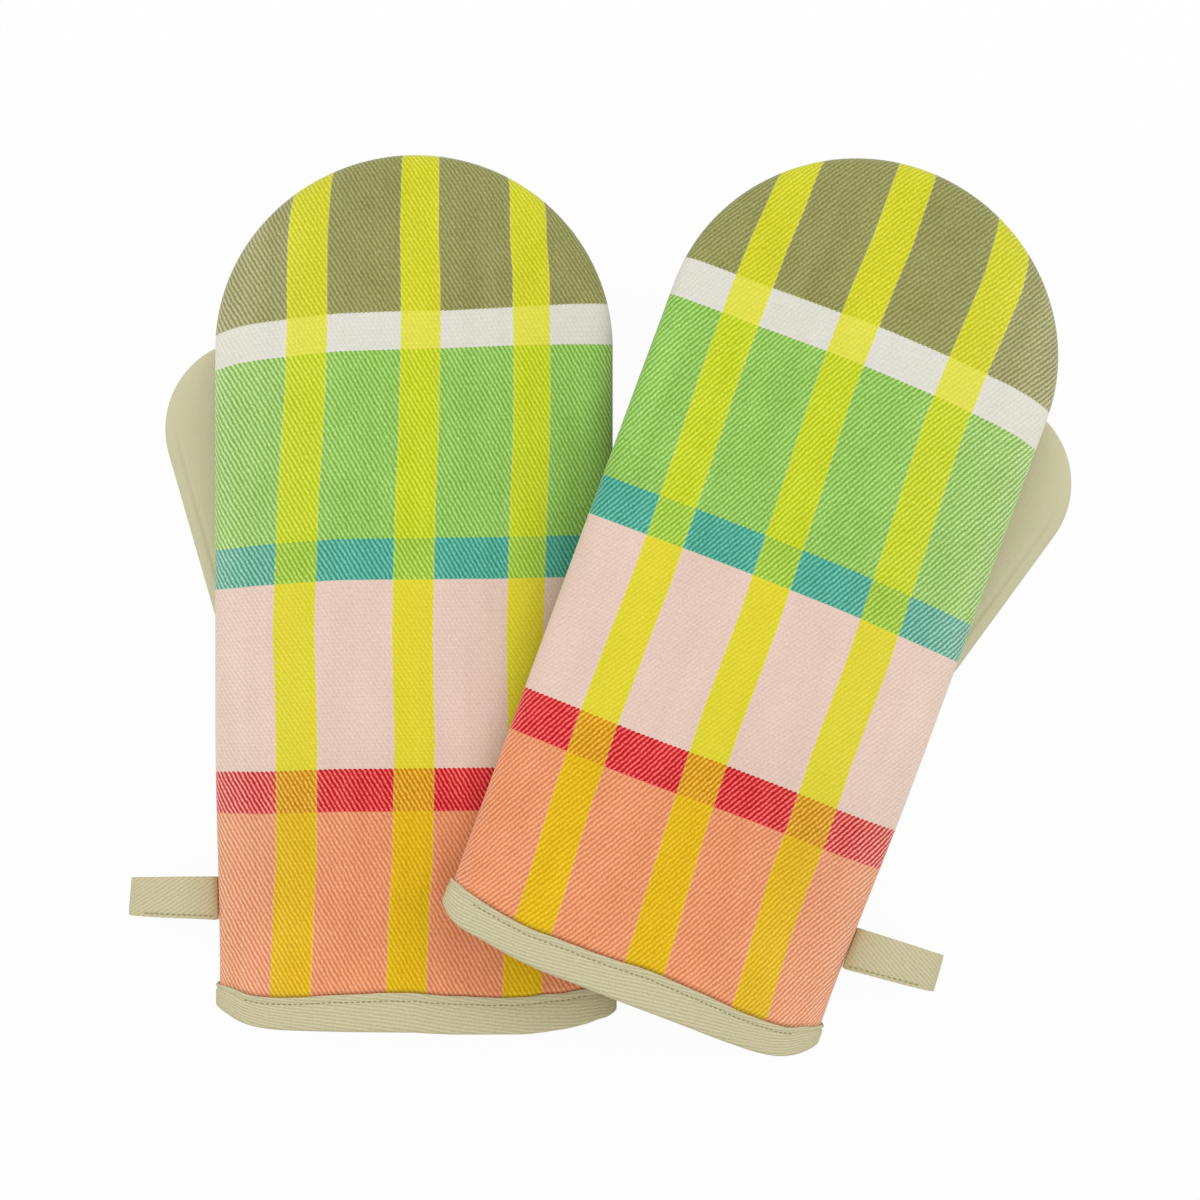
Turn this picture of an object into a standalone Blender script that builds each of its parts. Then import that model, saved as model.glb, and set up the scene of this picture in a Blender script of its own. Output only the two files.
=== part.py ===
"""A pair of padded oven gloves lying palm down, the left-hand one across the right-hand one.

Each glove is built as it is sewn. A one-piece check back and a plain palm in two pieces each have
their batting and lining. A padded thumb is set into the palm seam and lies folded under the palm.
A folded binding closes the cuff, and a hanging loop is caught in the side seam.

Every piece is drawn in its glove's own frame: across from the centre line, with the thumb on the
minus side, along from the cuff to the fingertips, and up from the table.
"""

import math

import bmesh
import bpy
from mathutils import Matrix, Vector
from mathutils.bvhtree import BVHTree

# Glove body
GLOVE_LENGTH = 0.330
BODY_WIDTH = 0.148
BODY_LOFT = 0.026
FINGERTIP_LENGTH = 0.0725
BACK_SQUARENESS = 2.5
PALM_SQUARENESS = 3.4

# Wall layers, from the outside in, and the clearance between pieces that touch
FABRIC_THICKNESS = 0.0008
BATTING_THICKNESS = 0.004
LINING_THICKNESS = 0.0005
PIECE_GAP = 0.0003

# Cuff binding
BINDING_WIDTH = 0.0155
BINDING_THICKNESS = 0.0012
BINDING_FOLD_ROOM = 0.0012
CUFF_CORNER_RISE = 0.0105
CUFF_CORNER_LENGTH = 0.035
CUFF_CORNER_SHARPNESS = 9.0
CUFF_EASE_LENGTH = 0.030

# Palm seam, and the slot in it that lets the thumb through
PALM_SEAM_HEIGHT = 0.126
THUMB_SLOT_LENGTH = 0.016
THUMB_SLOT_WIDTH = 0.044

# Thumb
THUMB_WIDTH = 0.068
THUMB_LOFT = 0.019
THUMB_LENGTH = 0.141
THUMB_OFFSET = 0.0303
THUMB_LEAN = math.radians(16.0)
THUMB_SQUARENESS = 2.8

# Hanging loop
LOOP_LENGTH = 0.0365
LOOP_WIDTH = 0.0152
LOOP_STRIP_THICKNESS = 0.0014
LOOP_EYE_HEIGHT = 0.0095
LOOP_HEIGHT = 0.0515

# How a glove lies: pressed flat where it rests, and lifted where its own thumb is under it
TABLE_PRESS = 0.0005
THUMB_EASE_START = -0.015
THUMB_EASE_WIDTH = 0.090
FINGERTIP_EASE_START = 0.245
FINGERTIP_EASE_LENGTH = 0.110

# How the left-hand glove lies across the right-hand one
PAIR_TURN = math.radians(20.2)
PAIR_SHIFT_ACROSS = 0.0776
PAIR_SHIFT_ALONG = 0.0145
PAIR_EDGE_LAP = 0.010
PAIR_EASE_WIDTH = 0.105
PAIR_EASE_START = 0.190
PAIR_EASE_LENGTH = 0.190
LIFT_BLEND_POWER = 6.0
SETTLE_STEP = 0.003
SETTLE_ROUND_COUNT = 5

# How finely the pieces are divided
LOWER_ROW_COUNT = 3
UPPER_ROW_COUNT = 3
FINGERTIP_STEP_COUNT = 10
THUMB_ROW_COUNT = 2
THUMB_TIP_STEP_COUNT = 6
THUMB_HEEL_STEP_COUNT = 6
LOOP_LEG_STEP_COUNT = 6
LOOP_NOSE_STEP_COUNT = 8
RIM_SHARES = (0.90, 0.975, 1.0)
THUMB_RING_SHARES = (0.0, 0.40, 0.74, 0.93, 1.0)
FOLD_LEG_SHARE = 0.5
CREASE_ANGLE = math.radians(50.0)

# Sizes that follow from the ones above
HALF_WIDTH = BODY_WIDTH / 2
HALF_LOFT = BODY_LOFT / 2
FINGERTIP_BASE = GLOVE_LENGTH - FINGERTIP_LENGTH
BATTING_INSET = FABRIC_THICKNESS + PIECE_GAP
LINING_INSET = BATTING_INSET + BATTING_THICKNESS + PIECE_GAP
WALL_THICKNESS = LINING_INSET + LINING_THICKNESS
BINDING_BUILD_UP = BINDING_THICKNESS + PIECE_GAP
CUFF_EDGE = BINDING_THICKNESS + BINDING_FOLD_ROOM
THUMB_HEEL = PALM_SEAM_HEIGHT - WALL_THICKNESS
THUMB_MOUTH = PALM_SEAM_HEIGHT + THUMB_SLOT_LENGTH
THUMB_HEEL_DEPTH = THUMB_MOUTH - THUMB_HEEL
THUMB_TIP_RADIUS = THUMB_WIDTH / 2
THUMB_TIP_CENTRE = THUMB_HEEL + THUMB_LENGTH - THUMB_TIP_RADIUS
LOOP_NOSE_RADIUS = LOOP_EYE_HEIGHT / 2 + LOOP_STRIP_THICKNESS
LOOP_ROOT_RADIUS = LOOP_STRIP_THICKNESS + PIECE_GAP / 2
LOOP_REACH = LOOP_LENGTH - LOOP_NOSE_RADIUS

# The wall layers as outer inset and inner inset from the glove's outside
LAYERS = {
    "panel": (0.0, FABRIC_THICKNESS),
    "batting": (BATTING_INSET, BATTING_INSET + BATTING_THICKNESS),
    "lining": (LINING_INSET, WALL_THICKNESS),
}

BACK, PALM = 1, -1
THUMB_SIDE, FAR_SIDE = -1, 1

# Colours and finishes of the materials: red, green, blue, roughness
FINISHES = {
    "check_twill": (0.42, 0.55, 0.16, 0.85),
    "sage_drill": (0.56, 0.54, 0.36, 0.85),
    "sage_tape": (0.53, 0.49, 0.30, 0.85),
    "batting": (0.86, 0.85, 0.80, 0.95),
    "lining": (0.74, 0.71, 0.62, 0.90),
}


def ease(share):
    """Go smoothly from 0 to 1 while the share does, and stay there."""
    share = min(max(share, 0.0), 1.0)
    return share * share * (3.0 - 2.0 * share)


def oval(share, squareness):
    """Height of a superellipse at a share of its half width, as a share of its full height."""
    return (1.0 - min(share, 1.0) ** squareness) ** (1.0 / squareness)


def steps(start, end, count):
    """Even positions from start to end, both included."""
    return [start + (end - start) * step / count for step in range(count + 1)]


def thumb_centre(along):
    """Where the thumb's leaning centre line is at a height along the glove."""
    return -THUMB_OFFSET - (along - THUMB_HEEL) * math.tan(THUMB_LEAN)


# Stations: each gives, for an inset, a point on the spine and the point of the rim that faces it
def body_side(along, side):
    """A station on one straight side of the glove body."""
    def points(inset):
        return Vector((0.0, along)), Vector((side * (HALF_WIDTH - inset), along))
    return points


def body_fingertip(angle):
    """A station on the half oval of the fingertips, turned from the thumb side."""
    def points(inset):
        across = -math.cos(angle) * (HALF_WIDTH - inset)
        along = FINGERTIP_BASE + math.sin(angle) * (FINGERTIP_LENGTH - inset)
        return Vector((0.0, FINGERTIP_BASE)), Vector((across, along))
    return points


def thumb_side_point(along, side, inset):
    """A point on one leaning side of the thumb."""
    reach = (THUMB_TIP_RADIUS - inset) / math.cos(THUMB_LEAN)
    return Vector((thumb_centre(along) + side * reach, along))


def thumb_side(along, side):
    """A station on one side of the thumb."""
    def points(inset):
        return Vector((thumb_centre(along), along)), thumb_side_point(along, side, inset)
    return points


def thumb_shoulder():
    """Height along the glove where the thumb's outer side runs into its round tip."""
    return THUMB_TIP_CENTRE - THUMB_TIP_RADIUS * math.sin(THUMB_LEAN)


def thumb_tip(angle):
    """A station on the round tip of the thumb, turned from its outer side."""
    def points(inset):
        heading = math.pi + THUMB_LEAN - angle
        centre = Vector((thumb_centre(THUMB_TIP_CENTRE), THUMB_TIP_CENTRE))
        reach = (THUMB_TIP_RADIUS - inset) * Vector((math.cos(heading), math.sin(heading)))
        spine = Vector((thumb_centre(thumb_shoulder()), thumb_shoulder()))
        return spine, centre + reach
    return points


def thumb_heel(angle):
    """A station on the half oval of the thumb's heel, turned from its inner side."""
    def points(inset):
        along = THUMB_MOUTH - math.sin(angle) * (THUMB_HEEL_DEPTH - inset)
        reach = math.cos(angle) * (THUMB_TIP_RADIUS - inset) / math.cos(THUMB_LEAN)
        spine = Vector((thumb_centre(THUMB_MOUTH), THUMB_MOUTH))
        return spine, Vector((thumb_centre(along) + reach, along))
    return points


def body_rows(low, high):
    """Heights along the glove of the rows between two edges."""
    lower = [CUFF_EDGE] + steps(BINDING_WIDTH, PALM_SEAM_HEIGHT, LOWER_ROW_COUNT)
    upper = steps(THUMB_MOUTH, FINGERTIP_BASE, UPPER_ROW_COUNT)
    inner = [row for row in lower + upper if low < row < high]
    return [low] + inner + [high]


def strip_stations(rows):
    """Stations up the thumb side and down the far side of a strip of the glove body."""
    up = [body_side(row, THUMB_SIDE) for row in rows]
    down = [body_side(row, FAR_SIDE) for row in reversed(rows)]
    return up, down


def dome_stations(low):
    """Stations from the thumb side at a low edge, round the fingertips, to the far side."""
    up, down = strip_stations(body_rows(low, FINGERTIP_BASE))
    angles = steps(0.0, math.pi, FINGERTIP_STEP_COUNT)[1:-1]
    return up + [body_fingertip(angle) for angle in angles] + down


def thumb_stations():
    """Stations from the mouth up the outer side of the thumb, round its tip and down again."""
    rows = steps(THUMB_MOUTH, thumb_shoulder(), THUMB_ROW_COUNT)
    tip = [thumb_tip(angle) for angle in steps(0.0, math.pi, THUMB_TIP_STEP_COUNT)[1:]]
    up = [thumb_side(row, THUMB_SIDE) for row in rows]
    down = [thumb_side(row, FAR_SIDE) for row in reversed(rows)]
    return up + tip + down


def heel_stations():
    """Stations from the inner side of the thumb, round its heel, to the outer side."""
    return [thumb_heel(angle) for angle in steps(0.0, math.pi, THUMB_HEEL_STEP_COUNT)[1:-1]]


# The rings of the palm that the thumb slot spans, counted from the spine
SLOT_RINGS = (1, 2)


def body_ring_shares():
    """Rings from the spine to the rim, with one at each end of the thumb slot."""
    near = (THUMB_OFFSET - THUMB_SLOT_WIDTH / 2) / HALF_WIDTH
    far = (THUMB_OFFSET + THUMB_SLOT_WIDTH / 2) / HALF_WIDTH
    return (0.0, near, (near + far) / 2, far) + RIM_SHARES


class Glove:
    """One glove: its hand, its place on the table, and how far it is lifted off it."""

    def __init__(self, name, mirror, frame):
        self.name = name
        self.mirror = mirror
        self.frame = frame
        self.thumb_lift = 0.0
        self.pair_lift = 0.0

    def point(self, across, along, up):
        """A point of the glove, mirrored for the other hand."""
        return Vector((self.mirror * across, along, up))

    def over_thumb(self, across, along):
        """Share of the thumb's lift that the body takes at a place."""
        sideways = 1.0 - ease((across - THUMB_EASE_START) / THUMB_EASE_WIDTH)
        from_cuff = ease((along - BINDING_WIDTH) / (THUMB_HEEL - BINDING_WIDTH))
        to_tip = 1.0 - ease((along - FINGERTIP_EASE_START) / FINGERTIP_EASE_LENGTH)
        return sideways * from_cuff * to_tip

    def over_pair(self, across, along):
        """Share of the other glove's lift that the body takes at a place."""
        spot = self.frame @ self.point(across, along, 0.0)
        edge = HALF_WIDTH - PAIR_EDGE_LAP
        sideways = 1.0 - ease((spot.x - edge) / PAIR_EASE_WIDTH)
        to_tip = 1.0 - ease((spot.y - PAIR_EASE_START) / PAIR_EASE_LENGTH)
        return sideways * to_tip

    def lift(self, across, along):
        """Height by which the body is raised at a place."""
        own = self.thumb_lift * self.over_thumb(across, along)
        other = self.pair_lift * self.over_pair(across, along)
        blend = own ** LIFT_BLEND_POWER + other ** LIFT_BLEND_POWER
        return blend ** (1.0 / LIFT_BLEND_POWER)

    def seam_height(self, across, along):
        """Height of the seam plane between back and palm over the table."""
        return HALF_LOFT - TABLE_PRESS + table_rise(along) + self.lift(across, along)

    def body_point(self, station, share, inset, side):
        """A point of the back or the palm at an inset from the glove's outside."""
        spine, rim = station(inset)
        flat = spine.lerp(rim, share)
        spine, rim = station(0.0)
        mark = spine.lerp(rim, share)
        squareness = BACK_SQUARENESS if side == BACK else PALM_SQUARENESS
        rise = PIECE_GAP / 2 + (HALF_LOFT - PIECE_GAP / 2 - inset) * oval(share, squareness)
        up = self.seam_height(mark.x, mark.y) + side * rise
        if side == PALM:
            up = max(up, inset + table_rise(mark.y))
        return self.point(flat.x, flat.y + corner_rise(mark), up)

    def thumb_point(self, station, share, inset, side):
        """A point of the thumb's palm side or outer side at an inset from its outside."""
        spine, rim = station(inset)
        flat = spine.lerp(rim, share)
        spine, rim = station(0.0)
        mark = spine.lerp(rim, share)
        seam = thumb_seam_height(mark.y)
        bulge = oval(share, THUMB_SQUARENESS)
        if side == BACK:
            edge = seam + PIECE_GAP / 2
            return self.point(flat.x, flat.y, edge + (THUMB_LOFT - inset - edge) * bulge)
        edge = seam - PIECE_GAP / 2
        up = edge - (edge - inset + TABLE_PRESS) * bulge
        return self.point(flat.x, flat.y, max(up, inset))


def table_rise(along):
    """Height of the palm over the table, where the binding under the cuff holds it up."""
    fade = 1.0 - ease((along - BINDING_WIDTH) / CUFF_EASE_LENGTH)
    return PIECE_GAP + (BINDING_BUILD_UP - PIECE_GAP) * fade


def corner_rise(mark):
    """How far the cuff's edge is drawn towards the fingertips at its two corners."""
    share = abs(mark.x) / HALF_WIDTH
    fade = max(0.0, 1.0 - mark.y / CUFF_CORNER_LENGTH)
    return CUFF_CORNER_RISE * share ** CUFF_CORNER_SHARPNESS * fade


def thumb_seam_height(along):
    """Height of the thumb's side seam, which climbs to the palm at the heel."""
    climb = 1.0 - ease((along - THUMB_HEEL) / THUMB_HEEL_DEPTH)
    return THUMB_LOFT / 2 * (1.0 + climb)


def add_sheet(mesh, stations, shares, place, closed, left_out):
    """Add a sheet of triangles over the stations, and return the spot of each vertex."""
    number = mesh.verts.layers.int.new("spot")
    spots = []
    spine = {}

    def vertex(station, share):
        co = place(station, share)
        key = tuple(round(value, 7) for value in co)
        if share == 0.0 and key in spine:
            return spine[key]
        vert = mesh.verts.new(co)
        vert[number] = len(spots)
        spots.append((station, share))
        if share == 0.0:
            spine[key] = vert
        return vert

    grid = [[vertex(station, share) for share in shares] for station in stations]
    turns = len(grid) if closed else len(grid) - 1
    for turn in range(turns):
        for ring in range(len(shares) - 1):
            if (turn, ring) in left_out:
                continue
            here, there = grid[turn], grid[(turn + 1) % len(grid)]
            corners = (here[ring], there[ring], there[ring + 1], here[ring + 1])
            corners = list(dict.fromkeys(corners))
            if len(corners) > 2:
                mesh.faces.new(corners)
    loose = [vert for vert in mesh.verts if not vert.link_faces]
    bmesh.ops.delete(mesh, geom=loose, context="VERTS")
    bmesh.ops.triangulate(mesh, faces=mesh.faces[:], quad_method="FIXED")
    return spots


def layer_solid(stations, shares, point, insets, closed=False, left_out=()):
    """One wall layer as a closed solid between its outer inset and its inner inset."""
    outer, inner = insets
    mesh = bmesh.new()
    spots = add_sheet(mesh, stations, shares, lambda *spot: point(*spot, outer), closed, left_out)
    number = mesh.verts.layers.int["spot"]
    grown = bmesh.ops.extrude_face_region(mesh, geom=mesh.faces[:], use_keep_orig=True)
    for vert in grown["geom"]:
        if isinstance(vert, bmesh.types.BMVert):
            vert.co = point(*spots[vert[number]], inner)
    bmesh.ops.recalc_face_normals(mesh, faces=mesh.faces[:])
    return mesh


def back_solid(glove, insets):
    """A layer of the one-piece back."""
    def point(station, share, inset):
        return glove.body_point(station, share, inset, BACK)
    return layer_solid(dome_stations(CUFF_EDGE), body_ring_shares(), point, insets)


def palm_point(glove):
    """The palm's points, for its two pieces."""
    def point(station, share, inset):
        return glove.body_point(station, share, inset, PALM)
    return point


def palm_lower_solid(glove, insets):
    """A layer of the palm from the cuff to the palm seam."""
    rows = body_rows(CUFF_EDGE, PALM_SEAM_HEIGHT - PIECE_GAP / 2)
    up, down = strip_stations(rows)
    seam_turn = len(up) - 1
    shares = body_ring_shares()
    across_seam = [(seam_turn, ring) for ring in range(len(shares))]
    return layer_solid(up + down, shares, palm_point(glove), insets, left_out=across_seam)


def palm_upper_solid(glove, insets):
    """A layer of the palm from the palm seam to the fingertips, cut out for the thumb."""
    slot = [(0, ring) for ring in SLOT_RINGS]
    stations = dome_stations(PALM_SEAM_HEIGHT + PIECE_GAP / 2)
    return layer_solid(stations, body_ring_shares(), palm_point(glove), insets, left_out=slot)


def thumb_front_solid(glove, insets):
    """A layer of the thumb's half that lies against the palm."""
    def point(station, share, inset):
        return glove.thumb_point(station, share, inset, BACK)
    return layer_solid(thumb_stations(), THUMB_RING_SHARES, point, insets)


def thumb_rear_solid(glove, insets):
    """A layer of the thumb's outer half, with the heel that turns up to the palm."""
    def point(station, share, inset):
        return glove.thumb_point(station, share, inset, PALM)
    stations = thumb_stations() + heel_stations()
    return layer_solid(stations, THUMB_RING_SHARES, point, insets, closed=True)


def binding_solid(glove):
    """The binding: a strip folded over the raw edge, swept right round the cuff's mouth."""
    fold = BINDING_THICKNESS * FOLD_LEG_SHARE
    outside = -BINDING_BUILD_UP
    inside = WALL_THICKNESS + BINDING_BUILD_UP
    section = (
        (BINDING_WIDTH, -PIECE_GAP), (BINDING_WIDTH, outside), (fold, outside),
        (0.0, outside + fold), (0.0, inside - fold), (fold, inside), (BINDING_WIDTH, inside),
        (BINDING_WIDTH, WALL_THICKNESS + PIECE_GAP), (BINDING_THICKNESS, WALL_THICKNESS + PIECE_GAP),
        (BINDING_THICKNESS, -PIECE_GAP),
    )
    shares = body_ring_shares()
    round_mouth = [(THUMB_SIDE, share, BACK) for share in reversed(shares)]
    round_mouth += [(FAR_SIDE, share, BACK) for share in shares[1:-1]]
    round_mouth += [(FAR_SIDE, share, PALM) for share in reversed(shares)]
    round_mouth += [(THUMB_SIDE, share, PALM) for share in shares[1:-1]]
    mesh = bmesh.new()
    rings = []
    for side, share, face in round_mouth:
        ring = []
        for along, inset in section:
            co = glove.body_point(body_side(along, side), share, inset, face)
            if share == 1.0:
                co.z -= face * PIECE_GAP / 2
            ring.append(mesh.verts.new(co))
        rings.append(ring)
    for place, ring in enumerate(rings):
        following = rings[(place + 1) % len(rings)]
        for corner in range(len(section)):
            after = (corner + 1) % len(section)
            mesh.faces.new((ring[corner], ring[after], following[after], following[corner]))
    bmesh.ops.triangulate(mesh, faces=mesh.faces[:], quad_method="FIXED")
    bmesh.ops.recalc_face_normals(mesh, faces=mesh.faces[:])
    return mesh


def loop_profile():
    """The loop strip's outer and inner edges, from its upper end round to its lower end."""
    eye = LOOP_EYE_HEIGHT / 2
    start = PIECE_GAP / 2
    outer = [(-LOOP_ROOT_RADIUS, LOOP_ROOT_RADIUS / 2)]
    inner = [(-LOOP_ROOT_RADIUS, start)]
    for reach in steps(-LOOP_ROOT_RADIUS / 2, LOOP_REACH, LOOP_LEG_STEP_COUNT):
        opened = start + (eye - start) * ease(reach / LOOP_REACH)
        outer.append((reach, opened + LOOP_STRIP_THICKNESS))
        inner.append((reach, opened))
    for angle in steps(math.pi / 2, 0.0, LOOP_NOSE_STEP_COUNT // 2)[1:]:
        turned = Vector((math.cos(angle), math.sin(angle)))
        outer.append((LOOP_REACH + turned.x * LOOP_NOSE_RADIUS, turned.y * LOOP_NOSE_RADIUS))
        inner.append((LOOP_REACH + turned.x * eye, turned.y * eye))
    mirrored_outer = [(reach, -up) for reach, up in reversed(outer[:-1])]
    mirrored_inner = [(reach, -up) for reach, up in reversed(inner[:-1])]
    return outer + mirrored_outer, inner + mirrored_inner


def loop_root(glove):
    """Centre of the loop's root on the side seam, and the angle at which the loop droops."""
    across = -HALF_WIDTH - PIECE_GAP - LOOP_ROOT_RADIUS
    up = glove.seam_height(-HALF_WIDTH, LOOP_HEIGHT)
    droop = math.asin((up - LOOP_NOSE_RADIUS) / LOOP_REACH)
    return Vector((across, LOOP_HEIGHT, up)), droop


def loop_solid(glove):
    """The hanging loop: a strip doubled back on itself, with its nose resting on the table."""
    root, droop = loop_root(glove)
    outer, inner = loop_profile()
    mesh = bmesh.new()

    def vertex(reach, up):
        across = root.x - reach * math.cos(droop) - up * math.sin(droop)
        height = root.z - reach * math.sin(droop) + up * math.cos(droop)
        return mesh.verts.new(glove.point(across, root.y - LOOP_WIDTH / 2, height))

    edges = [[vertex(*spot) for spot in edge] for edge in (outer, inner)]
    for place in range(len(outer) - 1):
        corners = (edges[0][place], edges[0][place + 1], edges[1][place + 1], edges[1][place])
        mesh.faces.new(corners)
    grown = bmesh.ops.extrude_face_region(mesh, geom=mesh.faces[:], use_keep_orig=True)
    moved = [vert for vert in grown["geom"] if isinstance(vert, bmesh.types.BMVert)]
    bmesh.ops.translate(mesh, verts=moved, vec=Vector((0.0, LOOP_WIDTH, 0.0)))
    bmesh.ops.recalc_face_normals(mesh, faces=mesh.faces[:])
    return mesh


def surface_tree(meshes, frame):
    """A search tree over the faces of some solids, placed in the table's frame."""
    joined = bmesh.new()
    for mesh in meshes:
        mesh.transform(frame)
        data = bpy.data.meshes.new("settling")
        mesh.to_mesh(data)
        joined.from_mesh(data)
        bpy.data.meshes.remove(data)
        mesh.free()
    tree = BVHTree.FromBMesh(joined)
    reach = [vert.co.copy() for vert in joined.verts]
    joined.free()
    return tree, reach


def least_gap(over, under):
    """Smallest height of one set of solids over another, at their corners and over a fine grid."""
    over_tree, over_corners = over
    under_tree, under_corners = under
    low = Vector([min(corner[axis] for corner in under_corners) for axis in range(2)])
    high = Vector([max(corner[axis] for corner in under_corners) for axis in range(2)])
    columns = steps(low.x, high.x, round((high.x - low.x) / SETTLE_STEP))
    rows = steps(low.y, high.y, round((high.y - low.y) / SETTLE_STEP))
    spots = [(column, row) for column in columns for row in rows]
    spots += [(corner.x, corner.y) for corner in over_corners + under_corners]
    up, down = Vector((0.0, 0.0, 1.0)), Vector((0.0, 0.0, -1.0))
    smallest = math.inf
    for across, along in spots:
        top = under_tree.ray_cast(Vector((across, along, GLOVE_LENGTH)), down)[0]
        base = over_tree.ray_cast(Vector((across, along, -GLOVE_LENGTH)), up)[0]
        if top and base:
            smallest = min(smallest, base.z - top.z)
    return smallest


def outer_palm(glove):
    """The outside of a glove's palm, with its binding."""
    panel = LAYERS["panel"]
    return [palm_lower_solid(glove, panel), palm_upper_solid(glove, panel), binding_solid(glove)]


def settle_on_thumb(glove):
    """Lift the body until it just clears the thumb that lies under it."""
    thumb = [thumb_front_solid(glove, LAYERS["panel"]), thumb_rear_solid(glove, LAYERS["panel"])]
    under = surface_tree(thumb, Matrix.Identity(4))
    for _ in range(SETTLE_ROUND_COUNT):
        over = surface_tree(outer_palm(glove), Matrix.Identity(4))
        glove.thumb_lift += PIECE_GAP - least_gap(over, under)


def settle_on_pair(glove, lower):
    """Lift the body until it just clears the glove that it lies across."""
    back = [back_solid(lower, LAYERS["panel"]), binding_solid(lower)]
    under = surface_tree(back, lower.frame)
    for _ in range(SETTLE_ROUND_COUNT):
        over = surface_tree(outer_palm(glove), glove.frame)
        glove.pair_lift += PIECE_GAP - least_gap(over, under)


def finish_material(name):
    """A plain material of the named finish."""
    red, green, blue, roughness = FINISHES[name]
    material = bpy.data.materials.new(name)
    material.use_nodes = True
    shader = material.node_tree.nodes["Principled BSDF"]
    shader.inputs["Base Color"].default_value = (red, green, blue, 1.0)
    shader.inputs["Roughness"].default_value = roughness
    shader.inputs["Metallic"].default_value = 0.0
    material.diffuse_color = (red, green, blue, 1.0)
    return material


def add_empty(name, parent, place):
    """An empty that carries pieces, at a place in its parent's frame."""
    empty = bpy.data.objects.new(name, None)
    empty.parent = parent
    empty.location = place
    bpy.context.collection.objects.link(empty)
    return empty


def add_piece(name, mesh, material, carrier, place):
    """A named piece, with its mesh drawn about its carrier's place in the glove's frame."""
    bmesh.ops.translate(mesh, verts=mesh.verts[:], vec=-place)
    data = bpy.data.meshes.new(name)
    mesh.to_mesh(data)
    mesh.free()
    data.shade_smooth()
    data.set_sharp_from_angle(angle=CREASE_ANGLE)
    data.materials.append(material)
    piece = bpy.data.objects.new(name, data)
    piece.parent = carrier
    bpy.context.collection.objects.link(piece)
    return piece


def build_glove(glove, carrier, materials):
    """All the pieces of one glove, with empties on the axes of its thumb and its loop."""
    origin = Vector((0.0, 0.0, 0.0))
    covers = {"panel": "sage_drill", "batting": "batting", "lining": "lining"}
    for layer, insets in LAYERS.items():
        material = materials[covers[layer]]
        cover = materials["check_twill"] if layer == "panel" else material
        add_piece(f"{glove.name}_back_{layer}", back_solid(glove, insets), cover, carrier, origin)
        lower = palm_lower_solid(glove, insets)
        add_piece(f"{glove.name}_palm_lower_{layer}", lower, material, carrier, origin)
        upper = palm_upper_solid(glove, insets)
        add_piece(f"{glove.name}_palm_upper_{layer}", upper, material, carrier, origin)
    tape = materials["sage_tape"]
    add_piece(f"{glove.name}_cuff_binding", binding_solid(glove), tape, carrier, origin)

    heel = glove.point(thumb_centre(THUMB_HEEL), THUMB_HEEL, THUMB_LOFT + PIECE_GAP / 2)
    hinge = add_empty(f"{glove.name}_thumb_hinge", carrier, heel)
    for layer, insets in LAYERS.items():
        material = materials[covers[layer]]
        front = thumb_front_solid(glove, insets)
        add_piece(f"{glove.name}_thumb_front_{layer}", front, material, hinge, heel)
        rear = thumb_rear_solid(glove, insets)
        add_piece(f"{glove.name}_thumb_rear_{layer}", rear, material, hinge, heel)

    root, _ = loop_root(glove)
    root = glove.point(*root)
    hanger = add_empty(f"{glove.name}_loop_hinge", carrier, root)
    add_piece(f"{glove.name}_hanging_loop", loop_solid(glove), tape, hanger, root)


def main():
    """Build the pair, centred over the table."""
    for old in list(bpy.data.objects):
        bpy.data.objects.remove(old, do_unlink=True)

    right = Glove("right_hand", 1.0, Matrix.Identity(4))
    shift = Matrix.Translation((PAIR_SHIFT_ACROSS, PAIR_SHIFT_ALONG, 0.0))
    left = Glove("left_hand", -1.0, shift @ Matrix.Rotation(-PAIR_TURN, 4, "Z"))
    settle_on_thumb(right)
    left.thumb_lift = right.thumb_lift
    settle_on_pair(left, right)

    materials = {name: finish_material(name) for name in FINISHES}
    table = add_empty("pair", None, Vector((0.0, 0.0, 0.0)))
    for glove in (right, left):
        carrier = add_empty(glove.name, table, glove.frame.translation)
        carrier.rotation_euler = glove.frame.to_euler()
        build_glove(glove, carrier, materials)

    bpy.context.view_layer.update()
    pieces = [thing for thing in bpy.data.objects if thing.type == "MESH"]
    corners = [piece.matrix_world @ vert.co for piece in pieces for vert in piece.data.vertices]
    for axis in range(2):
        low = min(corner[axis] for corner in corners)
        high = max(corner[axis] for corner in corners)
        table.location[axis] = -(low + high) / 2
    bpy.context.view_layer.update()
    for thing in bpy.data.objects:
        if thing.type == "EMPTY":
            print(thing.name, [round(value, 6) for value in thing.matrix_world.translation])
    print("thumb lift", round(right.thumb_lift, 6), "pair lift", round(left.pair_lift, 6))


main()
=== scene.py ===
"""Dress a pair of padded oven gloves: check backs, plain palms and thumbs, taped cuffs and loops.

Each glove is drawn in its own frame: across from the centre line, with the thumb on the minus side,
along from the cuff to the fingertips, and up from the table.
"""

import math

import bpy
import numpy as np
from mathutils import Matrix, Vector
from mathutils.bvhtree import BVHTree


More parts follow.
